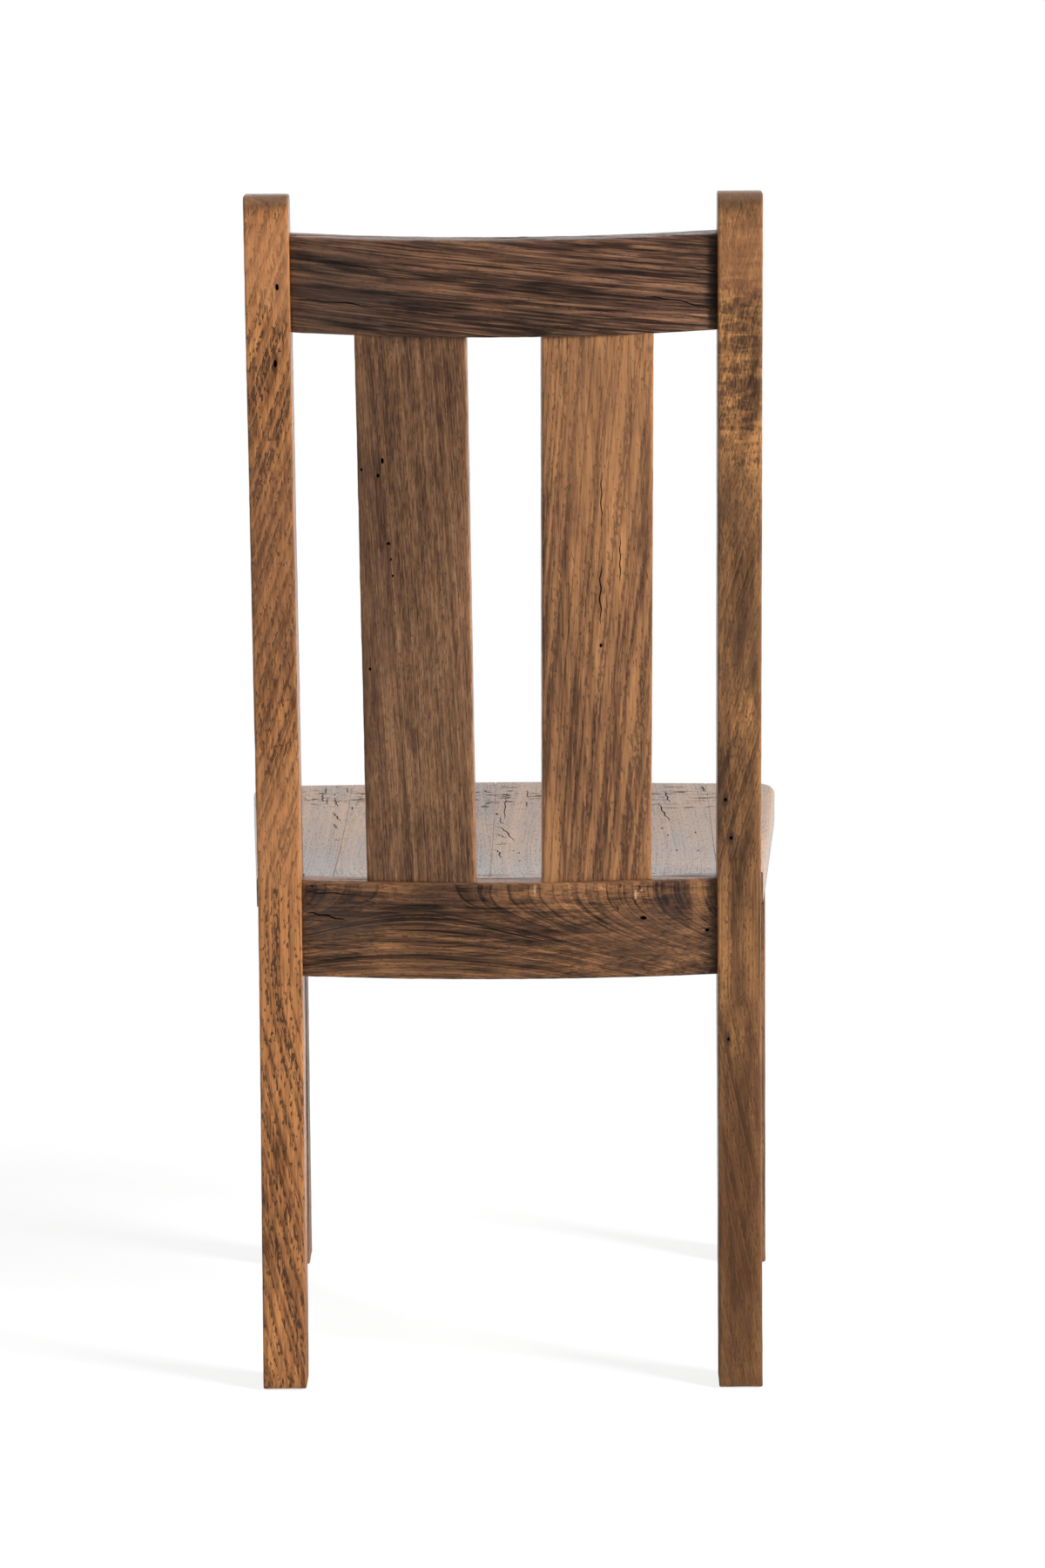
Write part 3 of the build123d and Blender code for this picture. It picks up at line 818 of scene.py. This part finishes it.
def slice_width(board, low, high, axis):
    """Slices close to both edges of a broad board, and 9 mm apart between them."""
    left, right = low[axis], high[axis]
    edges = [left + gap for gap in NEAR_EDGE] + [right - gap for gap in NEAR_EDGE]
    slice_across(board, axis, edges)
    slice_across(board, axis, evenly(left + NEAR_EDGE[-1], right - NEAR_EDGE[-1], 9 * MM))


print("boards can be started and sliced")

# %% [markdown]
# Hands, knees and brooms rub the arrises first. Every vertex gets a wear value from its distance
# to the nearest arris, which the wood finishes read, and two displacements follow: a shallow
# unevenness all over, as a hand plane leaves, and a deeper one where the wear is high. Both only
# take wood away, so the piece never grows past the frame's own size.

# %% Wear a board
plane_marks = bpy.data.textures.new("plane marks", "CLOUDS")
plane_marks.noise_scale = 35 * MM
knocks = bpy.data.textures.new("knocks", "CLOUDS")
knocks.noise_scale = 12 * MM


def store_wear(piece, values):
    wear = piece.data.attributes.new("wear", "FLOAT", "POINT")
    wear.data.foreach_set("value", values)


def mark_wear(board, low, high, ends=()):
    """Wear from 1 on an arris to 0 near it. Along the axes named in ends, other wood hides both."""
    fade = 2.5 * MM
    group = board.vertex_groups.new(name="arrises")
    values = []
    for vertex in board.data.vertices:
        gaps = sorted(
            min(vertex.co[axis] - low[axis], high[axis] - vertex.co[axis])
            for axis in (X, Y, Z)
            if axis not in ends
        )
        values.append(2 ** (-max(gaps[1] - 0.5 * MM, 0) / fade))
        group.add([vertex.index], values[-1], "REPLACE")
    store_wear(board, values)


def wear_down(board):
    depths = ((plane_marks, 0.3 * MM, ""), (knocks, 0.9 * MM, "arrises"))
    for texture, strength, group in depths:
        displace = board.modifiers.new(texture.name, "DISPLACE")
        displace.texture = texture
        displace.texture_coords = "LOCAL"
        displace.mid_level = 1.0
        displace.strength = strength
        displace.vertex_group = group
    apply_all(board)
    board.vertex_groups.clear()


print("wear follows the textures:", plane_marks.name, "and", knocks.name)

# %% [markdown]
# The boards had other lives before this chair. Nails left holes, and drying opened cracks along
# the fibres. A hole is cut by a tapered pin and a crack by a thin blade that follows a few spots
# over the face and closes at both ends. A ray finds the face, so each cutter stands where its
# board really is, and one Boolean modifier per board takes them all away.


# %% Pins and blades
def on_face(piece, spot, out):
    """The place on the face that looks out along Y or Z, from its two other coordinates in mm."""
    across, along = (value * MM for value in spot)
    start = Vector((across, 1, along)) if out.y else Vector((across, along, 1))
    hit, place, _, _ = piece.ray_cast(start, -out)
    if not hit:
        raise ValueError(f"{piece.name} has no face at {spot}")
    return place


def nail_pin(piece, out, spot, half_width, half_length):
    """A tapered pin half in the board. Its length runs up the back, or along the seat's depth."""
    turn = (radians(-90), 0, 0) if out.y else (0, 0, 0)
    bpy.ops.mesh.primitive_cone_add(
        vertices=14,
        radius1=0.6,
        radius2=1.25,
        depth=12 * MM,
        location=on_face(piece, spot, out),
        rotation=turn,
        scale=(half_width * MM, half_length * MM, 1),
    )
    return bpy.context.object


def crack_blade(piece, out, spots, width, depth):
    """A thin blade from spot to spot, widest in the middle and closed at both ends."""
    width, depth = width * MM, depth * MM
    bpy.ops.mesh.primitive_cube_add(size=1)
    blade = bpy.context.object
    slice_across(blade, X, evenly(-0.5, 0.5, 1 / 12))
    places = [on_face(piece, spot, out) for spot in spots]
    for vertex in blade.data.vertices:
        along = vertex.co.x + 0.5
        run = min(int(along * (len(places) - 1)), len(places) - 2)
        start, end = places[run], places[run + 1]
        place = start.lerp(end, along * (len(places) - 1) - run)
        aside = (end - start).cross(out).normalized()
        opening = width * (0.12 + 0.88 * sqrt(max(4 * along * (1 - along), 0)))
        wander = 0.5 * width * sin(19 * along + 40 * start.x)
        if vertex.co.z > 0:
            vertex.co = place + aside * (1.4 * opening * vertex.co.y + wander) + out * 2 * MM
        else:
            vertex.co = place + aside * (0.2 * opening * vertex.co.y + wander) - out * depth
    return blade


print("cutters for nail holes and cracks are ready")


# %% Cut a piece's marks
def cut_marks(piece, nails, cracks):
    """Nails are (spot, half width, half length); cracks are (spots, width, depth)."""
    if not nails and not cracks:
        return
    bpy.context.view_layer.update()
    out = Vector((0, 0, 1)) if "plank" in piece.name else Vector((0, 1, 0))
    cutters = [nail_pin(piece, out, *nail) for nail in nails]
    cutters += [crack_blade(piece, out, *crack) for crack in cracks]
    bpy.ops.object.select_all(action="DESELECT")
    for cutter in cutters:
        cutter.select_set(True)
    cutter = bpy.context.view_layer.objects.active = cutters[0]
    if len(cutters) > 1:
        bpy.ops.object.join()
    bpy.ops.object.mode_set(mode="EDIT")
    bpy.ops.mesh.select_all(action="SELECT")
    bpy.ops.mesh.normals_make_consistent(inside=False)
    bpy.ops.object.mode_set(mode="OBJECT")
    for mesh, value in ((piece.data, 0.0), (cutter.data, 1.0)):
        cut = mesh.attributes.new("cut", "FLOAT", "FACE")
        cut.data.foreach_set("value", [value] * len(mesh.polygons))
    boolean = piece.modifiers.new("nail holes and cracks", "BOOLEAN")
    boolean.operation = "DIFFERENCE"
    boolean.solver = "EXACT"
    boolean.object = cutter
    apply_all(piece)
    bpy.data.objects.remove(cutter)
    walls = sum(face.value > 0.5 for face in piece.data.attributes["cut"].data)
    print(piece.name, "has", len(nails), "nail holes,", len(cracks), "cracks,", walls, "cut faces")


print("a board's marks can be cut")

# %% [markdown]
# The marks of each piece, in millimetres: first its nail holes, each (spot, half width, half
# length), then its cracks, each (spots, width, depth). On the back a spot is (x, z), on the seat
# it is (x, y).

# %% List the marks
HAIR, FINE, OPEN = 0.7, 1.1, 1.5
marks = {
    "worn_post_left": (
        (((192.4, 978.4), 1.7, 3.2), ((195.2, 912.3), 1.7, 3.8)),
        (),
    ),
    "worn_post_right": (
        (
            ((-188.8, 524.5), 1.6, 1.8),
            ((-193.8, 489.8), 1.6, 1.9),
            ((-191.2, 309.9), 1.2, 1.8),
            ((-206.9, 598.8), 0.7, 0.8),
        ),
        (),
    ),
    "worn_crest_rail": (
        (),
        (
            (((179.4, 967.7), (139.9, 965.5), (100.9, 960.8)), FINE, 4),
            (((159, 1001.1), (126.9, 997.5), (97.9, 990.7)), HAIR, 3),
            (((-119.5, 969.5), (-148.1, 965), (-177.4, 956.5)), FINE, 4),
            (((-153.1, 993.5), (-184.1, 988)), HAIR, 3),
        ),
    ),
    "worn_lower_rail": (
        (
            ((-117.2, 418.9), 3.2, 2.0),
            ((-172.9, 406), 2.2, 1.7),
            ((172.9, 447.3), 1.2, 0.9),
        ),
        (
            (((178.9, 442.7), (169.2, 441.6), (148.4, 441.4), (129.3, 439.9)), FINE, 3),
            (((127.9, 437), (117.1, 433.2)), HAIR, 3),
            (((178.9, 424), (161.9, 421.5), (142.6, 417.1)), OPEN, 4),
            (((-98.1, 450), (-96.1, 446.5)), OPEN, 3),
            (((-113.1, 447.5), (-114.3, 444.5)), OPEN, 3),
            (((-110.4, 436), (-109.9, 432)), FINE, 3),
            (((-93.6, 430), (-95.3, 426.2)), OPEN, 3),
            (((43.9, 430), (16.9, 429), (-15.1, 430.5)), HAIR, 2),
        ),
    ),
    "worn_slat_left": (
        (
            ((104.9, 828.2), 1.4, 2.8),
            ((108.9, 815.2), 1.5, 2.0),
            ((123, 820.3), 1.2, 1.4),
            ((100.8, 755.5), 1.7, 1.6),
            ((98.8, 741.7), 1.1, 1.4),
            ((97.5, 727.1), 1.1, 1.4),
            ((118.5, 643.9), 1.3, 1.5),
        ),
        (),
    ),
    "worn_slat_right": (
        (((-81.1, 664.5), 1.4, 2.0),),
        (
            (((-82.6, 819), (-81.9, 795), (-82.4, 767)), FINE, 3),
            (((-98, 760.6), (-97.9, 720.6)), FINE, 3),
            (((-81.5, 736.3), (-80.7, 710), (-81.2, 683.1)), OPEN, 3),
            (((-65.6, 711.3), (-65.6, 697.4)), HAIR, 3),
            (((-121.1, 728), (-121.5, 721.5)), FINE, 2),
        ),
    ),
    "worn_plank_1": (
        (((170.5, -198.5), 1, 3),),
        (
            (((179.8, -224), (179.5, -204)), OPEN, 3),
            (((182.1, -202), (180.3, -170)), OPEN, 3),
            (((177, -185.1), (175.7, -157.9)), FINE, 3),
            (((170, -185.3), (168, -169), (165.4, -151.5)), OPEN, 3),
            (((169.2, -129.9), (165, -115), (160.3, -96)), OPEN, 3),
            (((166.3, -86.4), (161.4, -65.9)), OPEN, 3),
            (((163.5, -22.5), (157.5, -22.8)), 2.4, 2),
            (((159.8, -225), (158.7, -205.2)), FINE, 3),
        ),
    ),
    "worn_plank_2": (
        (((151.3, -145.7), 0.8, 5), ((118, 35), 0.9, 2)),
        ((((117, -90), (115.8, -66)), FINE, 2),),
    ),
    "worn_plank_4": (
        (
            ((15, -120.2), 1.5, 2.6),
            ((-7.1, 22.4), 1, 2.4),
            ((-8.2, 56.6), 1, 2.4),
            ((-2, 13.7), 0.8, 1.8),
        ),
        (
            (((6.6, -177.1), (7.8, -152.4), (7.5, -100.6)), FINE, 3),
            (((11.3, -109.8), (11.4, -92.7), (8, -85.3)), FINE, 3),
            (((15.1, -77.7), (8.2, -68.1), (2.9, -47.8), (-2.3, -21.9)), OPEN, 3),
            (((15, -51.3), (4.9, -35.2)), OPEN, 3),
            (((14.6, -10.9), (4, -13.6)), 2.4, 2),
            (((14.6, 7.7), (10.8, 20), (9.5, 44.1)), OPEN, 3),
            (((-13, -205.1), (-13.2, -176.7)), FINE, 3),
            (((-12.6, -164.4), (-12.7, -145.9)), FINE, 3),
        ),
    ),
    "worn_plank_5": (
        (
            ((-138.1, -64.5), 1.2, 2.6),
            ((-168.5, -43.3), 1, 2.4),
            ((-143.1, -37.1), 1.1, 2.6),
            ((-149.7, 25.8), 1.2, 2.8),
            ((-168.9, 31.4), 1, 2.4),
        ),
        (
            (((-137.5, -156.5), (-140.5, -125.7), (-145.7, -93.1)), OPEN, 3),
            (((-143.5, -204.5), (-147.1, -161.5)), OPEN, 3),
            (((-179.5, -224), (-181.6, -200.6)), 2, 4),
        ),
    ),
}
print("marked pieces:", len(marks))

# %% [markdown]
# A finished piece is smooth over its eased arrises and sharp at its corners. It says which node of
# the frame it replaces, and that it rides with the chair.


# %% Finish a piece
def finish_piece(piece, wood, slot, *nodes):
    """The piece's marks, smooth shading, the wood, and what it stands for in the frame."""
    cut_marks(piece, *marks.get(piece.name, ((), ())))
    bpy.ops.object.select_all(action="DESELECT")
    piece.select_set(True)
    bpy.context.view_layer.objects.active = piece
    bpy.ops.object.shade_smooth_by_angle(angle=radians(30))
    piece.data.materials.clear()
    piece.data.materials.append(woods[wood])
    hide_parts(*nodes)
    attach(piece, "root")
    print(piece.name, "has", len(piece.data.polygons), "faces")


print("a piece can be finished")

# %% [markdown]
# ## Rear posts
#
# A post is one thick plank, sawn to a bent side profile: it leans back above the seat and kicks
# back below it, and tapers to both ends. The straight board is sliced closely where it bends and
# where its top and foot are rounded, and then each vertex moves to its share of the way between
# the front line and the back line of the profile. The right post is a copy of the left one, worn
# in its own way.

# %% Profile of a post
FRAME_DEPTH = 411 * MM
FOOT_DEPTH, POST_DEPTH, TOP_DEPTH = 36 * MM, 40 * MM, 34 * MM
KICK, KICK_HEIGHT = 24 * MM, 345 * MM
LEAN_ANGLE, LEAN_HEIGHT = radians(5.3), 455 * MM
LEAN = tan(LEAN_ANGLE)
rear_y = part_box("front_leg_left")[0].y + FRAME_DEPTH
post_low, post_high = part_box("rear_post_left")
post_top = post_high.z
rise = post_top - LEAN_HEIGHT
EASE = 12 * MM


def eased_bends(start, slopes):
    """A line up the post from its start: each slope holds from its height, with an eased bend."""

    def place(z):
        value = start + slopes[0][1] * z
        for (_, before), (height, after) in zip(slopes, slopes[1:]):
            over = z - height
            soft = over if over > EASE else max(over + EASE, 0) ** 2 / (4 * EASE)
            value += (after - before) * soft
        return value

    return place


back_line = eased_bends(rear_y, ((0, -KICK / KICK_HEIGHT), (KICK_HEIGHT, 0), (LEAN_HEIGHT, LEAN)))
front_kick = (KICK + POST_DEPTH - FOOT_DEPTH) / KICK_HEIGHT
front_lean = LEAN + (POST_DEPTH - TOP_DEPTH) / rise
front_line = eased_bends(
    rear_y - FOOT_DEPTH, ((0, -front_kick), (KICK_HEIGHT, 0), (LEAN_HEIGHT, front_lean))
)


def round_off(over, radius):
    """How far a rounded end pulls in, at a distance into its radius."""
    return radius - sqrt(radius**2 - min(max(over, 0), radius) ** 2)


TOP_ROUND, FOOT_ROUND = 11 * MM, 4 * MM
NOT_FULLY = 0.999  # rounded a hair less than fully, the last slices keep their faces


def bend_post(z, y):
    """The real place of a point of the straight board."""
    inset = round_off(z - (post_top - TOP_ROUND), TOP_ROUND * NOT_FULLY)
    inset += round_off(FOOT_ROUND - z, FOOT_ROUND * NOT_FULLY)
    front, back = front_line(z) + inset, back_line(z) - inset
    return front + (back - front) * y / POST_DEPTH


print("the post leans back", round((back_line(post_top) - back_line(LEAN_HEIGHT)) * 1000), "mm")

# %% Model the posts
low, high = (post_low.x, 0, 0), (post_high.x, POST_DEPTH, post_top)
left_post = eased_board("worn_post_left", low, high)
heights = evenly(0, post_top, 9 * MM)
bend_steps = (-9.6, -4.8, 1.2, 5.2, 10.4)
heights += [z + step * MM for z in (KICK_HEIGHT, LEAN_HEIGHT) for step in bend_steps]
heights += [post_top - TOP_ROUND * (1 - sin(radians(angle))) for angle in (0, 15, 30, 45, 60, 75)]
heights += [FOOT_ROUND * (1 - sin(radians(angle))) for angle in (0, 30, 60)]
slice_across(left_post, Z, heights)
for axis in (X, Y):
    span = high[axis] - low[axis]
    slice_across(left_post, axis, [low[axis] + gap for gap in (*NEAR_EDGE, span / 2)])
    slice_across(left_post, axis, [high[axis] - gap for gap in NEAR_EDGE])
mark_wear(left_post, low, high)

right_post = left_post.copy()
right_post.data = left_post.data.copy()
right_post.name = right_post.data.name = "worn_post_right"
scene.collection.objects.link(right_post)
for vertex in right_post.data.vertices:
    vertex.co.x = -vertex.co.x
right_post.data.flip_normals()

for post, side in ((left_post, "left"), (right_post, "right")):
    wear_down(post)
    for vertex in post.data.vertices:
        vertex.co.y = bend_post(vertex.co.z, vertex.co.y)
    finish_piece(post, f"post_{side}", "post_wood", f"rear_post_{side}")

# %% [markdown]
# ## Bowed rails
#
# Both rails are bowed in plan, hollow towards the sitter. A rail is a straight board, sliced
# every few millimetres along its length, whose slices then move back onto two arcs with one
# centre. The crest rail also leans with the posts. The ends run a little into the posts, where
# the tenons are, so that no light shows at the joint.

# %% Model the rails
HALF_GAP = post_low.x
post_back_y = back_line((KICK_HEIGHT + LEAN_HEIGHT) / 2)
JOINT_COVER, RAIL_THICKNESS = 3 * MM, 22 * MM


def bow_arc(bow, recess):
    """The radius and the centre's y of a rail's rear arc, with y = 0 at the back of the posts."""
    radius = (HALF_GAP**2 + bow**2) / (2 * bow)
    return radius, bow - recess - radius


def bowed_rail(name, height, bow, recess):
    """A bowed rail round the origin: y is 0 at the back of the posts and z at mid-height."""
    low = (-HALF_GAP - JOINT_COVER, 0, -height / 2)
    high = (HALF_GAP + JOINT_COVER, RAIL_THICKNESS, height / 2)
    rail = eased_board(name, low, high)
    slice_across(rail, X, evenly(low[X], high[X], 7 * MM))
    slice_width(rail, low, high, Z)
    first, second = NEAR_EDGE[:2]
    middle = RAIL_THICKNESS / 2
    slice_across(rail, Y, [first, second, middle, RAIL_THICKNESS - second, RAIL_THICKNESS - first])
    mark_wear(rail, low, high, ends=(X,))
    wear_down(rail)
    radius, centre = bow_arc(bow, recess)
    for vertex in rail.data.vertices:
        x, y = vertex.co.x, vertex.co.y
        front = centre + sqrt((radius - RAIL_THICKNESS) ** 2 - x**2)
        back = centre + sqrt(radius**2 - x**2)
        vertex.co.y = front + (back - front) * y / RAIL_THICKNESS
    return rail


CREST_HEIGHT, CREST_BOW, CREST_RECESS, CREST_DROP = 84 * MM, 28 * MM, 7 * MM, 78 * MM
crest_z = post_top - CREST_DROP
to_crest = Matrix.Translation((0, back_line(crest_z), crest_z))
to_crest @= Matrix.Rotation(-LEAN_ANGLE, 4, "X")
crest = bowed_rail("worn_crest_rail", CREST_HEIGHT, CREST_BOW, CREST_RECESS)
crest.data.transform(to_crest)
finish_piece(crest, "crest", "rail_wood", "crest_rail")

LOWER_BOW, LOWER_RECESS = 15 * MM, 6 * MM
rail_low, rail_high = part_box("lower_back_rail")
rail_z = (rail_low.z + rail_high.z) / 2
lower_rail = bowed_rail("worn_lower_rail", rail_high.z - rail_low.z, LOWER_BOW, LOWER_RECESS)
lower_rail.data.transform(Matrix.Translation((0, post_back_y, rail_z)))
finish_piece(lower_rail, "lower_rail", "rail_wood", "lower_back_rail")

# %% [markdown]
# ## Slats
#
# The two slats are flat boards between the rails. They stand a little closer together at the
# seat than at the crest, lean with the posts, and each turns to face the middle of the bow. A
# slat is modelled upright at the origin and carried to its place by one matrix.

# %% Model the slats
SLAT_WIDTH, SLAT_THICKNESS = 96.5 * MM, 14 * MM
FOOT_SPACING, TOP_SPACING = 152.5 * MM, 158.5 * MM


def bow_at(x, bow, recess):
    """How far the middle of a bowed rail's thickness lies behind the posts' back, and its turn."""
    radius, centre = bow_arc(bow, recess)
    middle = radius - RAIL_THICKNESS / 2
    return centre + sqrt(middle**2 - x**2), x / middle


for side, name, slot in ((1, "left", "dark_slat_wood"), (-1, "right", "light_slat_wood")):
    foot_x, top_x = side * FOOT_SPACING / 2, side * TOP_SPACING / 2
    foot_y, foot_turn = bow_at(foot_x, LOWER_BOW, LOWER_RECESS)
    top_y, top_turn = bow_at(top_x, CREST_BOW, CREST_RECESS)
    foot = Vector((foot_x, post_back_y + foot_y, rail_high.z))
    top = to_crest @ Vector((top_x, top_y, -CREST_HEIGHT / 2))
    up = (top - foot).normalized()
    turn = (foot_turn + top_turn) / 2
    back = up.cross(Vector((cos(turn), -sin(turn), 0))).normalized()
    along = back.cross(up)
    low = (-SLAT_WIDTH / 2, -SLAT_THICKNESS / 2, -JOINT_COVER)
    high = (SLAT_WIDTH / 2, SLAT_THICKNESS / 2, (top - foot).length + JOINT_COVER)
    slat = eased_board(f"worn_slat_{name}", low, high)
    slice_across(slat, Z, evenly(low[Z], high[Z], 9 * MM))
    slice_width(slat, low, high, X)
    slice_across(slat, Y, [-3.8 * MM, 0, 3.8 * MM])
    mark_wear(slat, low, high, ends=(Z,))
    to_place = Matrix((along, back, up)).transposed().to_4x4()
    to_place.translation = foot
    slat.data.transform(to_place)
    wear_down(slat)
    finish_piece(slat, f"slat_{name}", slot, f"back_slat_{name}")

# %% [markdown]
# ## Front legs and aprons
#
# The front legs are straight and square. Aprons join the legs and posts under the seat: the side
# ones splay, because the seat is wider in front, so each straight board is sheared in plan.

# %% Model the legs and aprons
for name in ("left", "right"):
    low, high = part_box(f"front_leg_{name}")
    leg = eased_board(f"worn_leg_{name}", low, high)
    slice_across(leg, Z, evenly(low.z, high.z, 10 * MM) + [3 * MM, 6 * MM])
    gaps = (*NEAR_EDGE, 20 * MM, 29 * MM, 34 * MM, 36.8 * MM)
    for axis in (X, Y):
        slice_across(leg, axis, [low[axis] + gap for gap in gaps])
    mark_wear(leg, low, high)
    wear_down(leg)
    finish_piece(leg, f"leg_{name}", "post_wood", f"front_leg_{name}")

APRON_THICKNESS, APRON_INSET = 22 * MM, 5 * MM
leg_low, leg_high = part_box("front_leg_left")
apron_low, apron_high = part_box("front_apron")


def apron_board(name, low, high, length_axis):
    board = eased_board(name, low, high)
    slice_across(board, length_axis, evenly(low[length_axis], high[length_axis], 10 * MM))
    slice_across(board, Z, [low[Z] + gap for gap in (*NEAR_EDGE, 25 * MM, 45 * MM)])
    mark_wear(board, low, high, ends=(length_axis,))
    wear_down(board)
    return board


front_y = leg_low.y + APRON_INSET
front_apron = apron_board(
    "worn_front_apron",
    (-leg_low.x - JOINT_COVER, front_y, apron_low.z),
    (leg_low.x + JOINT_COVER, front_y + APRON_THICKNESS, apron_high.z),
    X,
)
finish_piece(front_apron, "apron_front", "apron_wood", "front_apron")

post_front_y = front_line((KICK_HEIGHT + LEAN_HEIGHT) / 2)
outer_rear, outer_front = post_high.x - APRON_INSET, leg_high.x - APRON_INSET
splay = (outer_front - outer_rear) / (post_front_y - leg_high.y)
wide = APRON_THICKNESS * sqrt(1 + splay**2)
for side, name in ((1, "left"), (-1, "right")):
    low = (-wide, leg_high.y - JOINT_COVER, apron_low.z)
    high = (0, post_front_y + JOINT_COVER, apron_high.z)
    apron = apron_board(f"worn_apron_{name}", low, high, Y)
    for vertex in apron.data.vertices:
        vertex.co.x = side * (vertex.co.x + outer_rear + (post_front_y - vertex.co.y) * splay)
    if side < 0:
        apron.data.flip_normals()
    finish_piece(apron, f"apron_{name}", "apron_wood", f"side_apron_{name}")

# %% [markdown]
# ## Seat planks
#
# Six planks were glued edge to edge, cut to the seat's outline, and scooped. Each starts as a
# cube again. Its slices are closest at the rounded rim and at the glued edges. Then every vertex
# moves to the outline in plan, and the upper ones drop onto the scooped surface of the frame,
# which a ray from above finds. At a glued edge the surface dips a little, as old glue lines do.

# %% Outline of the seat
SEAT_GAP = 0.3 * MM
CORNER_RADIUS, RIM_ROUND, LOWER_ARRIS = 20 * MM, 8 * MM, 2 * MM
seat_low, seat_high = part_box("seat_plank_1")
seat_front_y, seat_bottom = seat_low.y, seat_low.z
seat_half_width = seat_high.x
notch_y = post_front_y - SEAT_GAP
rail_radius, rail_centre = bow_arc(LOWER_BOW, LOWER_RECESS)
# The rounded corners take 1.5 mm off each side of the seat's box
side_front, side_rear = seat_half_width + 1.5 * MM, post_high.x + 3 * MM
side_run = (side_front - side_rear) / (post_front_y - seat_front_y)


def seat_rear(x):
    """The seat's rear edge, fitted to the bowed rail."""
    rail_front = post_back_y + rail_centre + sqrt((rail_radius - RAIL_THICKNESS) ** 2 - x**2)
    return rail_front - SEAT_GAP


def seat_side(y):
    """Half the seat's width, with the round front corner and the notch for the post."""
    if y > notch_y:
        return HALF_GAP - SEAT_GAP
    side = side_front - side_run * (y - seat_front_y)
    into_corner = min(max(CORNER_RADIUS - (y - seat_front_y), 0), CORNER_RADIUS)
    return side - round_off(into_corner, CORNER_RADIUS)


def rim_places(edge, inwards):
    """Slices that follow the rounded rim, measured from the edge."""
    steps = [RIM_ROUND * (1 - cos(radians(angle))) for angle in (12, 24, 36, 48, 60, 75, 90)]
    return [edge + inwards * step for step in (0.15 * MM, *steps)]


print("seat", round(2 * seat_half_width, 4), "m wide")

# %% Find the scooped surface
def scooped_height(surface, x, y, middle_x, rear):
    """The height of the frame's seat at a point, or a little further inwards at its edges."""
    for nudge in (0.12 * MM, 0.3 * MM, 0.8 * MM, 2 * MM, 4 * MM):
        inward_x = x + (nudge if x < middle_x else -nudge)
        inward_y = min(max(y, seat_front_y + nudge), rear - 3 * nudge)
        hit, place, _, _ = surface.ray_cast((inward_x, inward_y, 1), (0, 0, -1))
        if hit:
            return place.z
    raise ValueError(f"the seat has no surface at {x}, {y}")


print("the scooped surface can be found")

# %% Model the planks
GLUED_EDGE, TOUCHING = 0.9 * MM, 0.01 * MM
for number in range(1, 7):
    node = f"seat_plank_{number}"
    low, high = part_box(node)
    side = {1: 1, 6: -1}.get(number, 0)
    inner, outer = (low.x, high.x) if side >= 0 else (high.x, low.x)
    plank = cube_between(f"worn_plank_{number}", low, high)
    slice_across(plank, X, evenly(low.x, high.x, 6 * MM))
    if side:
        slice_across(plank, X, rim_places(outer, -side) + [inner + side * GLUED_EDGE])
    else:
        slice_across(plank, X, [low.x + GLUED_EDGE, high.x - GLUED_EDGE])
    slice_across(plank, Y, evenly(low.y, high.y, 7 * MM) + rim_places(low.y, 1))
    if side:
        # Two slices close together make the notch's sharp corner
        slice_across(plank, Y, [notch_y - 0.02 * MM, notch_y + 0.02 * MM])
    slice_across(plank, Z, [seat_bottom + LOWER_ARRIS])
    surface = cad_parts[node]
    for vertex in plank.data.vertices:
        x, y, z = vertex.co
        at_front = y < low.y + TOUCHING
        at_bottom = z < low.z + TOUCHING
        glued = min(abs(x - inner), abs(x - outer) if not side else 1) < TOUCHING
        at_side = bool(side) and abs(x - outer) < TOUCHING
        if side:
            x = inner + (x - inner) / (outer - inner) * (side * seat_side(y) - inner)
        rear = seat_rear(x)
        if not side or y > notch_y:
            start = notch_y if side else seat_front_y
            y = start + (y - start) / (high.y - start) * (rear - start)
        if z > high.z - TOUCHING:
            z = scooped_height(surface, x, y, (low.x + high.x) / 2, rear)
            z -= 0.6 * MM if glued else 0
        if at_bottom and at_front:
            y += LOWER_ARRIS
        if at_bottom and at_side and y < notch_y:
            x -= side * LOWER_ARRIS
        vertex.co = (x, y, z)
    plank.data.update()
    upward = [max(vertex.normal.z, 0) for vertex in plank.data.vertices]
    store_wear(plank, [4 * up**2 * (1 - up**2) if up < 0.95 else 0 for up in upward])
    finish_piece(plank, f"plank_{number}", "seat_wood", node)
